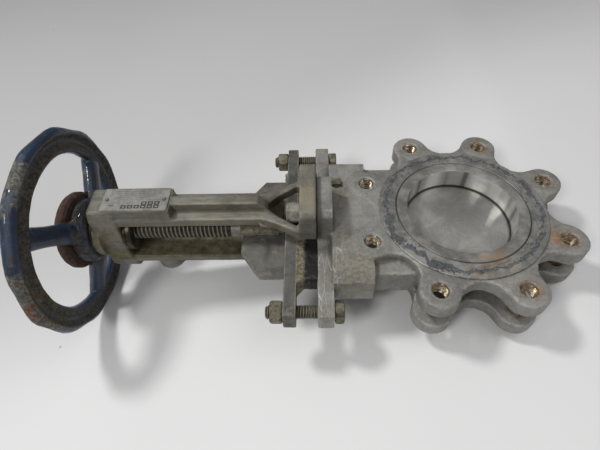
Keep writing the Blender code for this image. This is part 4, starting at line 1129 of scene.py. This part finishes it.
class VALVE_OT_stem(ValveMaker, bpy.types.Operator):
    """Turn the stem, its thread and the stem nut, and finish the washers and the clevis"""
    bl_idname = "valve.stem"
    bl_label = "Stem"

    def execute(self, context):
        low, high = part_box("stem")
        profile = [(high[0], SPIGOT_RADIUS), (STEM_NECK, SPIGOT_RADIUS), (STEM_NECK, STEM_RADIUS - 0.0006),
                   (STEM_NECK - 0.0006, STEM_RADIUS), (STEM_SHOULDER, STEM_RADIUS),
                   (STEM_SHOULDER - 0.0012, THREAD_ROOT_RADIUS), (low[0] + 0.0015, THREAD_ROOT_RADIUS),
                   (low[0], THREAD_ROOT_RADIUS - 0.0015)]
        item = turned_piece("stem_core", profile, "X", steps=64)
        settle(item, threaded_steel(), GATE, "stem", slot="polished_steel")
        pitch = sizes().stem_pitch
        turns = (STEM_SHOULDER - low[0] - 0.004) / pitch
        ridge = screw_thread("stem_thread", STEM_SHOULDER - 0.0018, turns, pitch,
                             THREAD_ROOT_RADIUS - 0.0001, STEM_RADIUS, threaded_steel(),
                             left_hand=True, steps=36)
        settle(ridge, threaded_steel(), GATE, slot="polished_steel")
        keep_node("stem_clevis", scaled_casting(), 0.0010)
        low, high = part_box("stem_nut")
        flange, neck_radius, bore = high[0] - 0.005, 0.0165, STEM_RADIUS + 0.0003
        profile = [(high[0], bore), (high[0], 0.0195), (high[0] - 0.001, 0.0205), (flange + 0.0006, 0.0205),
                   (flange, 0.0199), (flange, neck_radius), (low[0] + 0.0015, neck_radius),
                   (low[0], neck_radius - 0.0015), (low[0], bore)]
        item = turned_piece("stem_nut_turned", profile, "X", steps=64, ring=True)
        settle(item, dark_bronze(), WHEEL, "stem_nut", slot="bronze")
        for word in ("lower", "upper"):
            keep_node(f"thrust_washer_{word}", dark_bronze(), 0.0002)
        return {"FINISHED"}


class VALVE_OT_handwheel(ValveMaker, bpy.types.Operator):
    """Cast the handwheel with its coved rim, and turn the lock nut"""
    bl_idname = "valve.handwheel"
    bl_label = "Handwheel"

    def execute(self, context):
        item = new_object("handwheel_casting", node_mesh("handwheel"))
        cast(item, sizes().fine_voxel * 1.1, 4)
        for vertex in item.data.vertices:
            p = vertex.co
            away = (hypot(p.y, p.z) - COVE_RADIUS) / COVE_HALF_WIDTH
            if p.x > RIM_PLACE + 0.002 and abs(away) < 1:
                p.x -= COVE_DEPTH * (1 - away * away) ** 2
        roughen(item, 0.00035, 60, 9.4)
        settle(item, chipped_blue_paint(), WHEEL, "handwheel", slot="blue_paint", smooth=60)
        low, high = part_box("lock_nut")
        radius, bore = high[1], 0.0168
        profile = [(high[0], bore), (high[0], radius - 0.0022), (high[0] - 0.0022, radius),
                   (low[0] + 0.0046, radius), (low[0] + 0.0030, radius - 0.0016),
                   (low[0] + 0.0016, radius - 0.0018), (low[0], radius - 0.0040), (low[0], 0.0235),
                   (low[0] + 0.0012, 0.0225), (low[0] + 0.0012, bore)]
        nut = turned_piece("lock_nut_turned", profile, "X", steps=160, ring=True)
        roughen(nut, 0.00020, 220, 6.6)
        settle(nut, textured_rust(), WHEEL, "lock_nut", slot="rusted_steel")
        keep_node("wheel_key", dirty_fastener(), 0.0003)
        return {"FINISHED"}


class VALVE_OT_stage(ValveMaker, bpy.types.Operator):
    """Lay the pale floor and set the lights and the camera"""
    bl_idname = "valve.stage"
    bl_label = "Floor, lights and camera"

    def execute(self, context):
        self.lay_floor()
        self.light("key_far", (-0.98, 0.30, 1.25), (-0.10, 0.0, 0.0), 0.24, 11.0)
        self.light("key_near", (-0.80, -0.85, 1.10), (-0.10, 0.0, 0.0), 0.34, 8.0)
        self.light("fill", (0.70, -0.30, 1.50), (0.0, 0.0, 0.0), 1.20, 6.0)
        world = bpy.data.worlds.new("studio")
        world.use_nodes = True
        sky = Graph(world.node_tree)
        look = sky.add("ShaderNodeTexCoord", None, out="Generated")
        split = sky.add("ShaderNodeSeparateXYZ", None, look, out="Z")
        dome = {"stops": [(0.0, (0.16, 0.16, 0.16)), (0.35, (0.26, 0.26, 0.265)), (1.0, (0.85, 0.86, 0.88))]}
        shade = sky.add("ShaderNodeValToRGB", dome, split)
        backdrop = world.node_tree.nodes["Background"]
        sky.feed(backdrop.inputs["Color"], shade)
        backdrop.inputs["Strength"].default_value = 0.50
        context.scene.world = world
        context.scene.view_settings.view_transform = "Standard"
        self.place_camera()
        return {"FINISHED"}

    def lay_floor(self):
        bm = bmesh.new()
        rows = []
        xs = [-3.0, -1.5, -0.9] + [-0.7 + 0.02 * i for i in range(50)] + [0.5, 1.0, 3.0]
        for y in (-3.0, -0.6, 0.0, 0.6, 3.0):
            rows.append([bm.verts.new((x, y, self.floor_height(x))) for x in xs])
        for first, second in zip(rows, rows[1:]):
            for i in range(len(xs) - 1):
                bm.faces.new((first[i], first[i + 1], second[i + 1], second[i]))
        floor = new_object("floor", bm)
        floor.data.shade_smooth()
        floor.data.materials.append(pale_floor())

    @staticmethod
    def floor_height(x):
        """A sloping table that levels off beyond both ends of the valve."""
        slope, level, head, foot = 0.1637, -0.0240, 0.106, -0.56
        return level + slope * (min(max(x, foot), head) - head)

    @staticmethod
    def light(name, place, target, size, power):
        lamp = bpy.data.lights.new(name, "AREA")
        lamp.shape = "DISK"
        lamp.size = size
        lamp.energy = power
        item = bpy.data.objects.new(name, lamp)
        item.location = place
        item.rotation_euler = (Vector(target) - Vector(place)).to_track_quat("-Z", "Y").to_euler()
        bpy.context.scene.collection.objects.link(item)

    @staticmethod
    def place_camera():
        eye = bpy.data.cameras.new("camera")
        eye.lens = 26.04
        eye.sensor_width = 36.0
        eye.clip_start = 0.01
        item = bpy.data.objects.new("camera", eye)
        right = Vector((0.99931, 0.01221, -0.03503))
        up = Vector((0.01233, 0.78137, 0.62395))
        back = Vector((0.03499, -0.62395, 0.78068))
        turn = Matrix((right, up, back)).transposed().to_4x4()
        item.matrix_world = Matrix.Translation((-0.14024, -0.27240, 0.34404)) @ turn
        bpy.context.scene.collection.objects.link(item)
        bpy.context.scene.camera = item


# ---- settings and panel --------------------------------------------------------------------
class ValveSizes(bpy.types.PropertyGroup):
    stem_pitch: FloatProperty(name="Stem pitch", description="Rise of the stem for one turn of the handwheel",
                              default=0.0042333, min=0.002, max=0.008, unit="LENGTH")
    bolt_pitch: FloatProperty(name="Gland bolt pitch", description="Thread pitch of the gland bolts",
                              default=0.0024, min=0.001, max=0.004, unit="LENGTH")
    lug_pitch: FloatProperty(name="Lug thread pitch", description="Thread pitch of the tapped lug holes",
                             default=0.00231, min=0.001, max=0.004, unit="LENGTH")
    coarse_voxel: FloatProperty(name="Body grain", description="Mesh size of the body casting",
                                default=0.0015, min=0.001, max=0.004, unit="LENGTH")
    fine_voxel: FloatProperty(name="Small casting grain", description="Mesh size of the smaller castings",
                              default=0.0010, min=0.0008, max=0.003, unit="LENGTH")


class ValveColours(bpy.types.PropertyGroup):
    casting: FloatVectorProperty(name="Casting", description="Clean colour of the cast body", size=3,
                                 subtype="COLOR", default=(0.250, 0.243, 0.222), min=0, max=1)
    yoke: FloatVectorProperty(name="Yoke", description="Clean colour of the yoke casting", size=3,
                              subtype="COLOR", default=(0.170, 0.164, 0.138), min=0, max=1)
    paint: FloatVectorProperty(name="Handwheel paint", description="Colour of the handwheel's paint", size=3,
                               subtype="COLOR", default=(0.007, 0.023, 0.060), min=0, max=1)
    floor: FloatVectorProperty(name="Floor", description="Colour of the pale floor", size=3,
                               subtype="COLOR", default=(0.71, 0.706, 0.702), min=0, max=1)


PIECES = (VALVE_OT_stage, VALVE_OT_body, VALVE_OT_seats, VALVE_OT_gland, VALVE_OT_fasteners,
          VALVE_OT_yoke, VALVE_OT_nameplate, VALVE_OT_stem, VALVE_OT_handwheel)


class VALVE_PT_panel(bpy.types.Panel):
    """Lists the makers of the valve's pieces"""
    bl_label = "Knife Gate Valve"
    bl_idname = "VALVE_PT_panel"
    bl_space_type = "VIEW_3D"
    bl_region_type = "UI"
    bl_category = "Valve"

    def draw(self, context):
        for settings in (context.scene.valve_sizes, context.scene.valve_colours):
            for key in settings.__annotations__:
                self.layout.prop(settings, key)
        for kind in PIECES:
            self.layout.operator(kind.bl_idname)


CLASSES = (ValveSizes, ValveColours, *PIECES, VALVE_PT_panel)


def register():
    for kind in CLASSES:
        bpy.utils.register_class(kind)
    bpy.types.Scene.valve_sizes = PointerProperty(type=ValveSizes)
    bpy.types.Scene.valve_colours = PointerProperty(type=ValveColours)


def unregister():
    del bpy.types.Scene.valve_sizes
    del bpy.types.Scene.valve_colours
    for kind in reversed(CLASSES):
        bpy.utils.unregister_class(kind)


def main():
    register()
    for kind in PIECES:
        group, name = kind.bl_idname.split(".")
        getattr(getattr(bpy.ops, group), name)()


if __name__ == "__main__":
    main()
